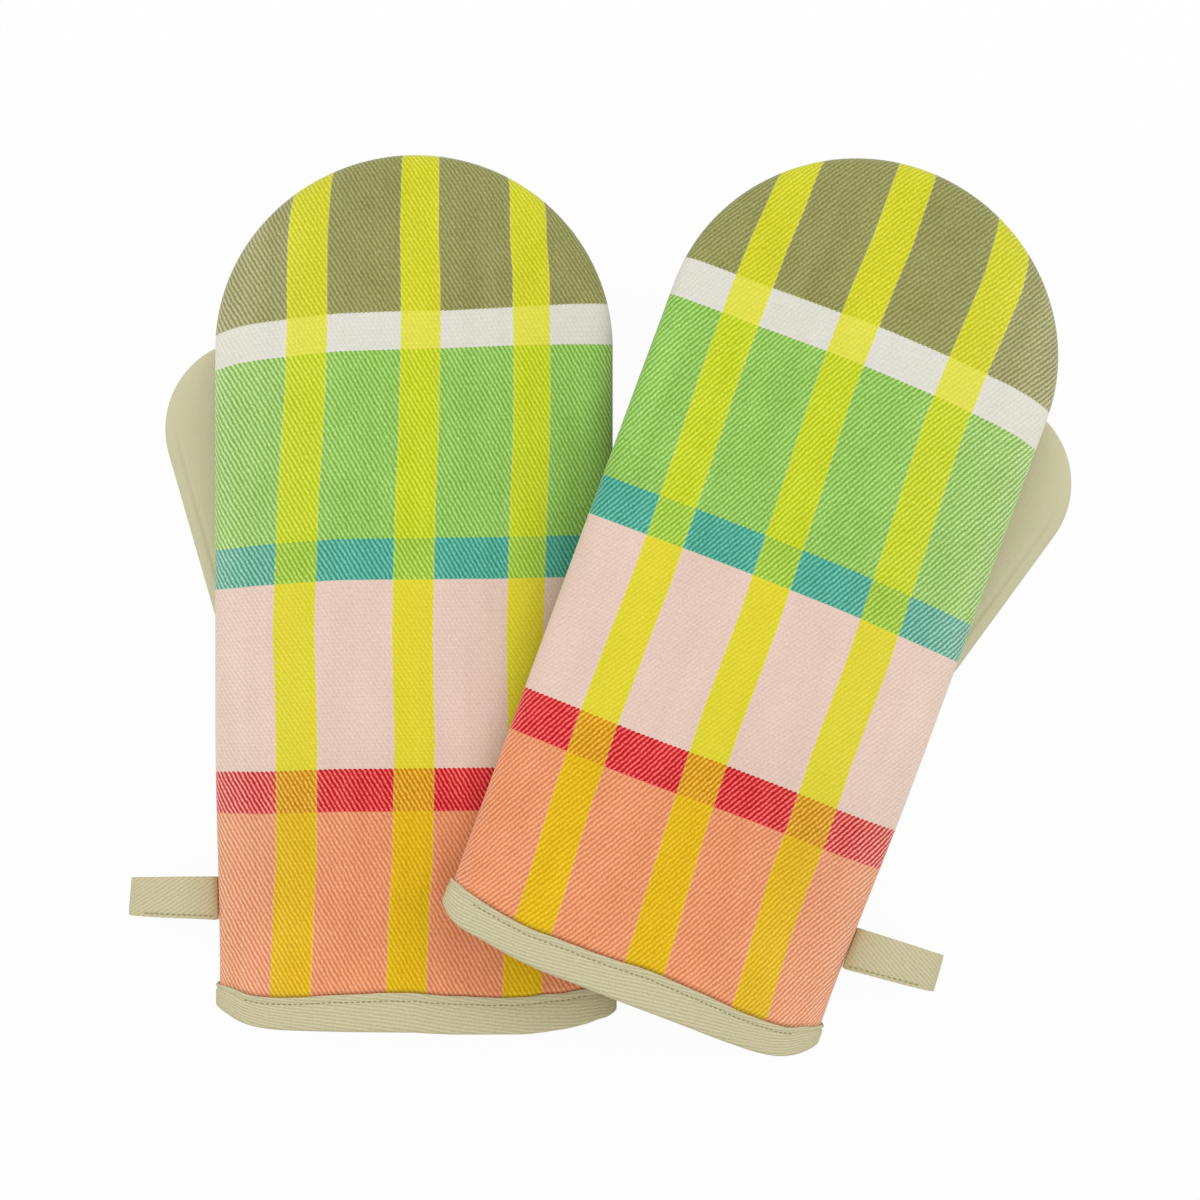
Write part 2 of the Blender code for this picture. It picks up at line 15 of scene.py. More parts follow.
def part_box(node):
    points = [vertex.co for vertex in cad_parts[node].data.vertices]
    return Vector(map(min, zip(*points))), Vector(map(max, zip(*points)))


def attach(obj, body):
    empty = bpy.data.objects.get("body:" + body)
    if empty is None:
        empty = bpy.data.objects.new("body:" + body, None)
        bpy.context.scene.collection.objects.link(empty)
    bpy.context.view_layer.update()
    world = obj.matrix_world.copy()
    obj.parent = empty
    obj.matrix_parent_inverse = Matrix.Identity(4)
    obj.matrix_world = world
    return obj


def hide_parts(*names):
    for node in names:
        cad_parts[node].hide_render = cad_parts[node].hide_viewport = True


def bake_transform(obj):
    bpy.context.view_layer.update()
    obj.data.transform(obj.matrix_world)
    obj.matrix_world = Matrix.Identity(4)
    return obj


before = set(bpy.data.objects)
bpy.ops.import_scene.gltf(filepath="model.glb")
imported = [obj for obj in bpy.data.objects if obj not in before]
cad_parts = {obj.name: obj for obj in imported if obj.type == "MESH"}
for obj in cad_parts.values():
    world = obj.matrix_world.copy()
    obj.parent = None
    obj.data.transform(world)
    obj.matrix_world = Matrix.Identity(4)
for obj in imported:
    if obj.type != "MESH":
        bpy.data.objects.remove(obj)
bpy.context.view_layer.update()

bl_info = {
    "name": "Padded oven gloves",
    "version": (1, 0, 0),
    "blender": (4, 5, 0),
    "location": "View3D > Sidebar > Oven gloves",
    "description": "Builds a pair of padded oven gloves in check twill with plain thumbs and taped cuffs",
    "category": "Add Mesh",
}

BACK, PALM = 1, -1
THUMB_SIDE, FAR_SIDE = -1, 1
MILLIMETRE = 0.001
HANDS = {"right_hand": 1.0, "left_hand": -1.0}
LAYERS = ("panel", "batting", "lining")
GLOVE_LENGTH = 0.330
BACK_LOW, BACK_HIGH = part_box("right_hand_back_panel")
RIGHT_PLACE = ((BACK_LOW.x + BACK_HIGH.x) / 2, BACK_HIGH.y - GLOVE_LENGTH)


def length(name, default, note):
    """A size in metres, shown with its unit."""
    return bpy.props.FloatProperty(
        name=name, description=note, default=default, min=0.0, precision=5, unit="LENGTH"
    )


def signed(name, default, note):
    """A size in metres that may be less than nothing."""
    return bpy.props.FloatProperty(
        name=name, description=note, default=default, precision=5, unit="LENGTH"
    )


def number(name, default, note, low=0.0):
    """A plain number."""
    return bpy.props.FloatProperty(name=name, description=note, default=default, min=low)


def angle(name, degrees, note):
    """An angle, given in degrees."""
    return bpy.props.FloatProperty(
        name=name, description=note, default=math.radians(degrees), subtype="ANGLE"
    )


def dye(name, red, green, blue, note):
    """A colour as the eye reads it, given from 0 to 255."""
    shades = [linear(level / 255) for level in (red, green, blue)]
    return bpy.props.FloatVectorProperty(
        name=name, description=note, default=shades, size=3, min=0.0, max=1.0, subtype="COLOR"
    )


def linear(level):
    """A display level as linear light."""
    if level <= 0.04045:
        return level / 12.92
    return ((level + 0.055) / 1.055) ** 2.4


class GLOVE_PG_shape(bpy.types.PropertyGroup):
    """Sizes of one glove."""

    glove_length: length("Glove length", GLOVE_LENGTH, "From the cuff to the fingertips")
    width: length("Hand width", 0.148, "Across the hand")
    loft: length("Loft", 0.026, "Height of the padded hand")
    fingertip: length("Fingertip length", 0.0725, "Length of the rounded end")
    back_squareness: number("Back squareness", 2.5, "How square the back is across")
    palm_squareness: number("Palm squareness", 3.4, "How square the palm is across")
    fabric: length("Fabric", 0.0008, "Thickness of the outer fabric")
    batting: length("Padding", 0.004, "Thickness of the padding")
    lining: length("Lining", 0.0005, "Thickness of the lining")
    clearance: length("Clearance", 0.0003, "Between pieces that touch")
    palm_seam: length("Palm seam", 0.126, "Height of the seam across the palm")
    slot_length: length("Slot length", 0.016, "Length of the thumb's slot")
    slot_width: length("Slot width", 0.044, "Width of the thumb's slot")
    thumb_width: length("Thumb width", 0.068, "Across the thumb")
    thumb_loft: length("Thumb loft", 0.019, "Height of the folded thumb")
    thumb_length: length("Thumb length", 0.141, "From its heel to its tip")
    thumb_offset: length("Thumb offset", 0.0303, "From the glove's centre line")
    thumb_lean: angle("Thumb lean", 16.0, "How far the thumb leans out")
    thumb_squareness: number("Thumb squareness", 2.8, "How square the thumb is across")


class GLOVE_PG_trim(bpy.types.PropertyGroup):
    """Sizes of the tape, the loop and the stitches."""

    tape_width: length("Tape width", 0.0155, "Width of the cuff's tape")
    tape_thickness: length("Tape thickness", 0.0012, "Thickness of the folded tape")
    fold_room: length("Fold room", 0.0012, "From the raw edge to the fold")
    tape_dent: length("Stitch dent", 0.0006, "How far the stitches draw the tape in")
    stitch_drop: length("Stitch drop", 0.0032, "From the tape's upper edge to its stitches")
    puff: length("Puff over the tape", 0.0019, "How far the back bulges over the tape's edge")
    corner_rise: length("Corner rise", 0.0105, "How far the cuff's corners are drawn up")
    corner_length: length("Corner length", 0.035, "How far up the drawing fades")
    corner_sharpness: number("Corner sharpness", 9.0, "How close to the corner it stays")
    cuff_ease: length("Cuff ease", 0.030, "Where the palm comes down off the tape")
    loop_length: length("Loop length", 0.0365, "From the seam to the fold")
    loop_width: length("Loop width", 0.0152, "Width of the loop's tape")
    loop_flare: number("Loop flare", 0.109, "How much wider the loop is at the seam")
    loop_under: number("Lower strip", 0.10, "How much narrower the loop's lower strip is")
    loop_strip: length("Loop strip", 0.0014, "Thickness of the loop's tape")
    loop_eye: length("Loop eye", 0.0095, "Height of the opening in the loop")
    loop_height: length("Loop height", 0.0515, "From the cuff to the middle of the loop")
    stitch_pitch: length("Stitch pitch", 0.0021, "From one stitch to the next")
    stitch_length: length("Stitch length", 0.0016, "Length of one stitch")
    thread: length("Thread", 0.00042, "Thickness of the thread")
    thumb_dent: length("Thumb line", 0.0007, "Depth of the line inside the thumb's edge")


class GLOVE_PG_lay(bpy.types.PropertyGroup):
    """How the pair lies on the table."""

    table_press: length("Table press", 0.0005, "How far the palm is pressed flat")
    thumb_rise: length("Rise over the thumb", 0.01982, "Lift of the hand over its own thumb")
    pair_rise: length("Rise over the pair", 0.028602, "Lift of the upper glove over the lower")
    thumb_ease_start: signed("Thumb ease start", -0.015, "Where the rise starts to fall off")
    thumb_ease_width: length("Thumb ease width", 0.090, "How wide it falls off")
    tip_ease_start: length("Tip ease start", 0.245, "Where the rise ends along the glove")
    tip_ease_length: length("Tip ease length", 0.110, "How long it falls off")
    turn: angle("Turn", -20.2, "Turn of the upper glove")
    across: length("Shift across", 0.0776, "Shift of the upper glove across")
    along: length("Shift along", 0.0145, "Shift of the upper glove along")
    edge_lap: length("Edge lap", 0.010, "Lap over the lower glove's edge")
    pair_ease_width: length("Pair ease width", 0.105, "How wide the upper rise falls off")
    pair_ease_start: length("Pair ease start", 0.190, "Where the upper rise starts to end")
    pair_ease_length: length("Pair ease length", 0.190, "How long it takes to end")
    blend_power: number("Blend power", 6.0, "How the two rises run together")
    swell: length("Swell", 0.0016, "Most that the padding may swell or sink")
    pressure: number("Pressure", 4.0, "Pressure of the padding")


class GLOVE_PG_cloth(bpy.types.PropertyGroup):
    """Colours of the cloths, and sizes of the weave."""

    olive: dye("Olive", 146, 146, 87, "Band at the fingertips")
    cream: dye("Cream", 222, 220, 208, "Band below the olive")
    green: dye("Green", 147, 196, 92, "Band over the fingers")
    teal: dye("Teal", 82, 170, 148, "Narrow band below the green")
    pink: dye("Pink", 231, 202, 187, "Band over the hand")
    red: dye("Red", 219, 57, 60, "Narrow band below the pink")
    orange: dye("Orange", 235, 151, 107, "Band at the cuff")
    yellow_olive: dye("Yellow on olive", 207, 207, 39, "Stripe over the olive")
    yellow_cream: dye("Yellow on cream", 224, 222, 76, "Stripe over the cream")
    yellow_green: dye("Yellow on green", 197, 212, 38, "Stripe over the green")
    yellow_teal: dye("Yellow on teal", 163, 201, 69, "Stripe over the teal")
    yellow_pink: dye("Yellow on pink", 226, 213, 50, "Stripe over the pink")
    yellow_red: dye("Yellow on red", 221, 160, 26, "Stripe over the red")
    yellow_orange: dye("Yellow on orange", 228, 185, 12, "Stripe over the orange")
    # The pale yarn is also the colour of the painted sheen at the sides of the back
    pale_yarn: dye("Pale yarn", 247, 240, 214, "Yarn that shows in the diagonals")
    sage: dye("Sage drill", 208, 204, 168, "Plain cloth of palm and thumb")
    tape: dye("Sage tape", 205, 197, 159, "Tape of cuff and loop")
    # Painted shade and painted reflection of the orange glove where the loop meets it
    stain: dye("Stain", 168, 105, 35, "Dye of the back at the loop's root")
    thread: dye("Thread", 152, 147, 98, "Topstitching")
    padding: dye("Padding", 238, 236, 228, "Padding inside the walls")
    lining: dye("Lining", 222, 217, 200, "Lining of the hand")
    diagonal_across: length("Diagonal across", 0.00183, "From diagonal to diagonal, across")
    diagonal_along: length("Diagonal along", 0.00302, "From diagonal to diagonal, along")
    warp: length("Warp pitch", 0.000629, "From warp yarn to warp yarn")
    weft: length("Weft pitch", 0.000786, "From weft yarn to weft yarn")
    stripe: length("Stripe width", 0.0155, "Width of the yellow stripe on the thumb side")
    stripe_loss: length("Stripe loss", 0.0004, "How much narrower each next stripe is")
    stripe_pitch: length("Stripe pitch", 0.0434, "From stripe to stripe")
    stripe_start: signed("First stripe", -0.0434, "Middle of the stripe on the thumb side")
    fringe: length("Fringe", 0.0007, "Where a stripe's edge is paler")
    edge_step: length("Edge step", 0.00016, "How far the twill shifts the edge of a band")
    twill_depth: length("Twill depth", 0.00006, "Height of the yarns")


class GLOVE_PG_stage(bpy.types.PropertyGroup):
    """Camera and light."""

    camera_height: length("Camera height", 1.56, "Height of the camera over the table")
    frame_width: length("Frame width", 0.4525, "Width of the picture at the gloves")
    camera_across: signed("Camera across", 0.0006, "Where the camera stands, across")
    camera_along: signed("Camera along", 0.0, "Where the camera stands, along")
    sides: number("Side lights", 3.1, "Strength of each of the two soft lights at the sides")
    far: number("Far light", 2.1, "Strength of the soft light beyond the fingertips")
    fill: number("Fill light", 0.74, "Strength of the light all round")
    table_white: number("White of the table", 0.95, "How much of the table is seen as plain white")


def sizes():
    """The groups of settings of the scene."""
    scene = bpy.context.scene
    return scene.glove_shape, scene.glove_trim, scene.glove_lay, scene.glove_cloth


# Plain shapes of curves
def ease(share):
    """Go smoothly from 0 to 1 while the share does, and stay there."""
    share = np.clip(share, 0.0, 1.0)
    return share * share * (3.0 - 2.0 * share)


def ease_from(value, start, reach):
    """Go smoothly from 0 to 1 while a value goes from its start over its reach."""
    return ease((value - start) / reach)


def oval(share, squareness):
    """Height of a superellipse at a share of its half width, as a share of its full height."""
    return (1.0 - np.minimum(share, 1.0) ** squareness) ** (1.0 / squareness)


def rows(start, end, step):
    """Even positions from start to end about a step apart, both included."""
    return list(np.linspace(start, end, max(2, round((end - start) / step) + 1)))


def rim_shares(count, marks=()):
    """Shares from the spine to the rim, closer together at the rim, with some marks kept."""
    even = np.linspace(0.0, 1.0, count)
    shares = 1.0 - (1.0 - even) ** 1.9
    for mark in marks:
        shares[np.argmin(abs(shares - mark))] = mark
    return np.array(sorted(shares))


# How each cuff was cut and sewn a little crooked, in millimetres: across, and shift along
CUFF_SKEW = {
    "right_hand": (
        (-74, -0.6), (-70, 0.7), (-60, 1), (-45, 1.2), (-24, 0.9), (0, 0.7), (12, 0), (42, -0.1),
        (52, 0.8), (62, 1), (68, 0.2), (70, -1), (72, -2), (74, -2.8),
    ),
    "left_hand": (
        (-74, -3.1), (-70, -3.2), (-60, -2.9), (-48, -2.1), (-36, -1.5), (-24, -0.8), (-12, -0.3),
        (0, 0), (20, 0.6), (28, 0.6), (36, 0.9), (42, 1.4), (48, 2.1), (52, 2.5), (56, 2.8), (60, 2.6),
        (64, 1.9), (68, 1), (72, 0.6), (74, 0.4),
    ),
}
# How the tape's sewn edge wavers on the back, in millimetres: across, and shift along
TAPE_WAVER = {
    "right_hand": (
        (-74, -3.4), (-70, -2.7), (-67, -2.3), (-64, -3), (-60, -3.2), (-54, -3.2), (-48, -3.1),
        (-42, -2.8), (-36, -2.1), (-30, -1.6), (-24, -1.3), (-18, -1), (-12, -0.5), (0, -0.5),
        (6, -0.8), (18, -1), (30, -1.6), (36, -1.5), (42, -1.3), (48, -0.9), (52, -1.4), (56, -1.3),
        (60, -1), (74, -1),
    ),
    "left_hand": (
        (-74, -4.4), (-72, -3.4), (-67, -2.4), (-64, -3.1), (-60, -3.3), (-54, -3.3), (-42, -3.1),
        (-36, -2.5), (-30, -2.1), (-18, -1.6), (-6, -0.9), (0, -1.1), (6, -1.6), (18, -2.1), (30, -2),
        (36, -2.4), (42, -2.9), (48, -2.9), (54, -2.9), (60, -2.2), (66, -0.8), (70, -0.2), (74, -1.4),
    ),
}


# The bulge over the tape: how soon it rises, how far it fades, and where it ends near the rim
PUFF_RISE, PUFF_FADE, PUFF_RIM = 0.0017, 0.014, (0.80, 0.19)
# Where the cuff's crooked cut starts to fade along the glove, and over what length
SKEW_FADE = (0.018, 0.055)
# The thumb's sewn line: where it is and how wide, as shares, and how it starts and ends along
GROOVE_AT, GROOVE_WIDE, GROOVE_START, GROOVE_END = 0.845, 0.018, 0.02, (0.002, 0.012)
# Height of the tape's fold, in thicknesses of the tape
FOLD_SHARE = 1.5


def knot_shift(knots, across):
    """The shift that a table of knots gives at places across a glove."""
    knots = np.array(knots) * MILLIMETRE
    return np.interp(across, knots[:, 0], knots[:, 1])


class Glove:
    """One glove: its sizes, its hand, and its place on the table."""

    def __init__(self, name):
        self.name = name
        self.mirror = HANDS[name]
        self.shape, self.trim, self.lay, self.cloth = sizes()
        shape, trim = self.shape, self.trim
        self.upper = name == "left_hand"
        self.turn = self.lay.turn if self.upper else 0.0
        self.half = shape.width / 2
        self.half_loft = shape.loft / 2
        self.tip_base = shape.glove_length - shape.fingertip
        self.batting_inset = shape.fabric + shape.clearance
        self.lining_inset = self.batting_inset + shape.batting + shape.clearance
        self.wall = self.lining_inset + shape.lining
        self.build_up = trim.tape_thickness + shape.clearance
        self.cuff_edge = trim.tape_thickness + trim.fold_room
        self.fold = trim.tape_thickness * FOLD_SHARE
        self.heel = shape.palm_seam - self.wall
        self.mouth = shape.palm_seam + shape.slot_length
        self.thumb_radius = shape.thumb_width / 2
        self.thumb_end = self.heel + shape.thumb_length - self.thumb_radius
        self.swell_grid = None
        self.puffed = False
        self.insets = {
            "panel": (0.0, shape.fabric),
            "batting": (self.batting_inset, self.batting_inset + shape.batting),
            "lining": (self.lining_inset, self.wall),
        }

    def place(self, spots):
        """Points of the glove on the table."""
        across, along, up = spots[..., 0] * self.mirror, spots[..., 1], spots[..., 2]
        cosine, sine = math.cos(self.turn), math.sin(self.turn)
        shift = (self.lay.across, self.lay.along) if self.upper else (0.0, 0.0)
        x = RIGHT_PLACE[0] + shift[0] + cosine * across - sine * along
        y = RIGHT_PLACE[1] + shift[1] + sine * across + cosine * along
        return np.stack([x, y, up], axis=-1)

    def table_rise(self, along):
        """Height of the palm over the table, where the tape under the cuff holds it up."""
        fade = 1.0 - ease((along - self.trim.tape_width) / self.trim.cuff_ease)
        gap = self.shape.clearance
        return gap + (self.build_up - gap) * fade

    def rise(self, across, along):
        """Height by which the hand is raised over its thumb and over the other glove."""
        lay, start = self.lay, self.trim.tape_width
        over = 1.0 - ease((across - lay.thumb_ease_start) / lay.thumb_ease_width)
        over = over * ease((along - start) / (self.heel - start))
        over = over * (1.0 - ease((along - lay.tip_ease_start) / lay.tip_ease_length))
        own = lay.thumb_rise * over
        if not self.upper:
            return own
        cosine, sine = math.cos(self.turn), math.sin(self.turn)
        x = lay.across + cosine * self.mirror * across - sine * along
        y = lay.along + sine * self.mirror * across + cosine * along
        other = 1.0 - ease((x - self.half + lay.edge_lap) / lay.pair_ease_width)
        other = other * (1.0 - ease((y - lay.pair_ease_start) / lay.pair_ease_length))
        other = lay.pair_rise * other
        power = lay.blend_power
        return (own ** power + other ** power) ** (1.0 / power)

    def seam_height(self, across, along):
        """Height of the seam between back and palm over the table."""
        level = self.half_loft - self.lay.table_press
        return level + self.table_rise(along) + self.rise(across, along)

    def tape_edge(self, across):
        """Height of the tape's sewn edge on the back, which wavers along the cuff."""
        return self.trim.tape_width + knot_shift(TAPE_WAVER[self.name], across)

    def puff(self, across, along):
        """How far the back bulges over the sewn edge of the tape."""
        past = along - self.tape_edge(across)
        bulge = ease(past / PUFF_RISE) * np.exp(-np.maximum(past, 0.0) / PUFF_FADE)
        rim = ease_from(abs(across) / self.half, *PUFF_RIM)
        return self.trim.puff * bulge * (1.0 - rim)

    def swelling(self, across, along):
        """How far the padding stands proud of the plain form at a place."""
        puff = self.puff(across, along) if self.puffed else np.zeros_like(across)
        if self.swell_grid is None:
            return puff
        step, low, grid = self.swell_grid
        column = np.clip((across - low[0]) / step, 0, grid.shape[0] - 1.001)
        row = np.clip((along - low[1]) / step, 0, grid.shape[1] - 1.001)
        i, j = column.astype(int), row.astype(int)
        s, t = column - i, row - j
        near = grid[i, j] * (1 - s) + grid[i + 1, j] * s
        far = grid[i, j + 1] * (1 - s) + grid[i + 1, j + 1] * s
        return near * (1 - t) + far * t + puff

    def corner_lift(self, mark):
        """How far the cuff's edge is drawn towards the fingertips at its corners."""
        trim = self.trim
        share = abs(mark[..., 0]) / self.half
        fade = np.maximum(0.0, 1.0 - mark[..., 1] / trim.corner_length)
        lift = trim.corner_rise * share ** trim.corner_sharpness * fade
        skew = knot_shift(CUFF_SKEW[self.name], mark[..., 0])
        return lift + skew * (1.0 - ease_from(mark[..., 1], *SKEW_FADE))

    # Stations: each gives, for an inset, a point on the spine and the point of the rim facing it
    def side_station(self, along, side):
        """A station on one straight side of the hand."""
        def points(inset):
            return (0.0, along), (side * (self.half - inset), along)
        return points

    def tip_station(self, turn):
        """A station on the half oval of the fingertips, turned from the thumb side."""
        def points(inset):
            across = -math.cos(turn) * (self.half - inset)
            along = self.tip_base + math.sin(turn) * (self.shape.fingertip - inset)
            return (0.0, self.tip_base), (across, along)
        return points

    def thumb_centre(self, along):
        """Where the thumb's leaning centre line is."""
        shape = self.shape
        return -shape.thumb_offset - (along - self.heel) * math.tan(shape.thumb_lean)

    def thumb_side(self, along, side):
        """A station on one side of the thumb."""
        def points(inset):
            reach = (self.thumb_radius - inset) / math.cos(self.shape.thumb_lean)
            centre = self.thumb_centre(along)
            return (centre, along), (centre + side * reach, along)
        return points

    def thumb_shoulder(self):
        """Where the thumb's outer side runs into its round tip."""
        return self.thumb_end - self.thumb_radius * math.sin(self.shape.thumb_lean)

    def thumb_tip(self, turn):
        """A station on the thumb's round tip, turned from its outer side."""
        def points(inset):
            heading = math.pi + self.shape.thumb_lean - turn
            reach = self.thumb_radius - inset
            across = self.thumb_centre(self.thumb_end) + reach * math.cos(heading)
            along = self.thumb_end + reach * math.sin(heading)
            shoulder = self.thumb_shoulder()
            return (self.thumb_centre(shoulder), shoulder), (across, along)
        return points

    def thumb_heel(self, turn):
        """A station on the half oval of the thumb's heel, turned from its inner side."""
        def points(inset):
            depth = self.mouth - self.heel
            along = self.mouth - math.sin(turn) * (depth - inset)
            lean = math.cos(self.shape.thumb_lean)
            reach = math.cos(turn) * (self.thumb_radius - inset) / lean
            spine = (self.thumb_centre(self.mouth), self.mouth)
            return spine, (self.thumb_centre(along) + reach, along)
        return points

    def strip(self, heights):
        """Stations up the thumb side and down the far side of a strip of the hand."""
        up = [self.side_station(height, THUMB_SIDE) for height in heights]
        down = [self.side_station(height, FAR_SIDE) for height in reversed(heights)]
        return up, down

    def dome(self, heights, tips):
        """Stations from the thumb side, round the fingertips, to the far side."""
        up, down = self.strip(heights)
        turns = np.linspace(0.0, math.pi, tips)[1:-1]
        return up + [self.tip_station(turn) for turn in turns] + down

    def thumb_round(self, step, tips):
        """Stations from the mouth round the thumb and back to the mouth."""
        heights = rows(self.mouth, self.thumb_shoulder(), step)
        tip = [self.thumb_tip(turn) for turn in np.linspace(0.0, math.pi, tips)[1:]]
        up = [self.thumb_side(height, THUMB_SIDE) for height in heights]
        down = [self.thumb_side(height, FAR_SIDE) for height in reversed(heights)]
        return up + tip + down

    def heel_round(self, count):
        """Stations round the thumb's heel, from its inner to its outer side."""
        turns = np.linspace(0.0, math.pi, count)[1:-1]
        return [self.thumb_heel(turn) for turn in turns]

    def flat_spots(self, stations, shares, inset):
        """Places in plan over the stations and shares, at an inset."""
        pairs = np.array([station(inset) for station in stations])
        spine, rim = pairs[:, 0][:, None, :], pairs[:, 1][:, None, :]
        return spine + (rim - spine) * np.asarray(shares)[None, :, None]

    def hand_spots(self, stations, shares, inset, side):
        """Points of the back or the palm at an inset from the outside."""
        shares = np.asarray(shares)
        flat = self.flat_spots(stations, shares, inset)
        mark = self.flat_spots(stations, shares, 0.0)
        shape = self.shape
        squareness = shape.back_squareness if side == BACK else shape.palm_squareness
        half_gap = shape.clearance / 2
        bulge = oval(shares, squareness)[None, :]
        up = self.seam_height(mark[..., 0], mark[..., 1])
        up = up + side * (half_gap + (self.half_loft - half_gap - inset) * bulge)
        if side == BACK:
            up = up + self.swelling(mark[..., 0], mark[..., 1])
        else:
            up = np.maximum(up, inset + self.table_rise(mark[..., 1]))
        along = flat[..., 1] + self.corner_lift(mark)
        return np.stack([flat[..., 0], along, up], axis=-1)

    def thumb_seam(self, along):
        """Height of the thumb's side seam, which climbs to the palm at the heel."""
        climb = 1.0 - ease((along - self.heel) / (self.mouth - self.heel))
        return self.shape.thumb_loft / 2 * (1.0 + climb)

    def thumb_groove(self, mark, shares):
        """Depth of the thumb's topstitched line, inside its outer edge and short of its tip."""
        outer = mark[..., 0] < self.thumb_centre(mark[..., 1])
        line = np.exp(-(((shares - GROOVE_AT) / GROOVE_WIDE) ** 2))[None, :]
        end = ease((self.thumb_end + GROOVE_END[0] - mark[..., 1]) / GROOVE_END[1])
        start = ease_from(mark[..., 1], self.mouth, GROOVE_START)
        return self.trim.thumb_dent * line * outer * end * start

    def thumb_spots(self, stations, shares, inset, side):
        """Points of the thumb's palm side or outer side at an inset from the outside."""
        shares = np.asarray(shares)
        flat = self.flat_spots(stations, shares, inset)
        mark = self.flat_spots(stations, shares, 0.0)
        seam = self.thumb_seam(mark[..., 1])
        bulge = oval(shares, self.shape.thumb_squareness)[None, :]
        half_gap = self.shape.clearance / 2
        if side == BACK:
            edge = seam + half_gap
            up = edge + (self.shape.thumb_loft - inset - edge) * bulge - self.thumb_groove(mark, shares)
        else:
            edge = seam - half_gap
            up = edge - (edge - inset + self.lay.table_press) * bulge
            up = np.maximum(up, inset)
        return np.stack([flat[..., 0], flat[..., 1], up], axis=-1)


def cloth_spots(outer, flat):
    """Where each point is on the flat cloth: as far from the spine as along the surface."""
    level = outer[..., 2] - outer[:, :1, 2]
    away = np.linalg.norm(flat - flat[:, :1], axis=-1)
    run = np.hypot(np.diff(away, axis=1), np.diff(level, axis=1))
    run = np.concatenate([np.zeros((len(run), 1)), np.cumsum(run, axis=1)], axis=1)
    heading = flat[:, -1] - flat[:, 0]
    heading = heading / np.maximum(np.linalg.norm(heading, axis=-1, keepdims=True), 1e-9)
    return flat[:, :1] + heading[:, None, :] * run[..., None]


# Lower edge of each band, from the cuff to the fingertips: on the flat cloth, and as each glove has it
BANDS = (
    ("orange", 0.0), ("red", 0.0826), ("pink", 0.0984), ("teal", 0.1704),
    ("green", 0.1862), ("cream", 0.2573), ("olive", 0.2717),
)
CLOTH_LENGTH = 0.400
BANDS_AS_SEWN = {
    "right_hand": (0.0840, 0.1002, 0.1687, 0.1841, 0.2546, 0.2688),
    "left_hand": (0.0789, 0.0952, 0.1629, 0.1783, 0.2505, 0.2665),
}
# How the stripes run a little crooked on the made-up glove, in millimetres: heights along, and the
# shifts across there of the stripe on the thumb side, of the middle one and of the far one
DRIFT_ALONG = (20, 35, 50, 65, 92, 110, 130, 150, 200, 220, 240, 265, 285, 300)
STRIPE_DRIFT = {
    "right_hand": (
        (-3.1, -2.5, -1.8, -0.5, -0.1, 0.2, -0.2, -1, 0.9, 2.2, 3.6, 4.3, 3.5, 2.9),
        (-3.1, -2.5, -1.8, -0.5, 0.3, 0.8, 0.3, 0, 1, 2.1, 2.5, 3.1, 2.6, 2.1),
        (-3.1, -2.5, -1.8, -0.5, 0.3, 0.8, 0.3, 0, 1.6, 2.5, 2.9, 2.5, 2.2, 1),
    ),
    "left_hand": (
        (-5.7, -4.8, -3.8, -2, 0.7, 1.7, 1.5, 1.4, 3.4, 4.4, 5.1, 4.3, 2.4, 0.9),
        (-2.6, -1.7, -0.8, 0, 1.3, 1.7, 1.5, 1.4, 3.3, 4.3, 5, 4.7, 3.8, 2.9),
        (-2.2, -1.3, -0.1, 1, 2.1, 1.7, 1.6, 1.3, 2.7, 3.5, 4.3, 4.6, 4.3, 3.4),
    ),
}
# How the bands droop, in millimetres: places across, and the shifts along there at each height
DROOP_ACROSS = (-79, -72, -65, -57, -28, 0, 15, 33, 60, 79)
BAND_DROOP = {
    "right_hand": (
        (90, (-1.2, -1.2, -1.2, -1.3, -0.2, 0, 0, -0.1, 0, 0)),
        (175, (-4.3, -3.9, -3.3, -2.4, -0.3, 0, 0.2, 0.3, 1, 1)),
        (262, (-8.8, -7.2, -5.2, -3.9, -0.8, 0.1, 0.8, 2, 3.3, 3.7)),
        (270, (-8, -6.6, -4.7, -3.5, -0.4, 0.6, 1.4, 2.9, 5.2, 6.2)),
    ),
    "left_hand": (
        (90, (-1.6, -1.7, -1.8, -1.8, -0.8, -0.4, -0.4, -0.1, 0.9, 1.2)),
        (175, (-4.8, -4.5, -3.9, -3.3, -1.3, -0.4, 0.2, 0.3, 0.2, 0.4)),
        (262, (-8.2, -6.7, -5, -3.7, -1.4, 0, 0.4, 1, 1.4, 1.4)),
    ),
}


def band_droop(name, across, along):
    """How far the bands are shifted along at a place on the cloth."""
    places = np.array(DROOP_ACROSS) * MILLIMETRE
    shift, below, last = np.zeros_like(across), 0.0, np.zeros_like(across)
    for height, line in BAND_DROOP[name]:
        here, top = np.interp(across, places, np.array(line) * MILLIMETRE), height * MILLIMETRE
        shift = shift + (here - last) * np.clip((along - below) / (top - below), 0.0, 1.0)
        below, last = top, here
    return shift


def stripe_drift(name, across, along, pitch):
    """How far the stripes are shifted across at a place on the cloth."""
    heights, lines = np.array(DRIFT_ALONG) * MILLIMETRE, np.array(STRIPE_DRIFT[name]) * MILLIMETRE
    near, middle, far = (np.interp(along, heights, line) for line in lines)
    turn = np.clip(across / pitch, -1.0, 1.0)
    return middle + np.maximum(-turn, 0.0) * (near - middle) + np.maximum(turn, 0.0) * (far - middle)


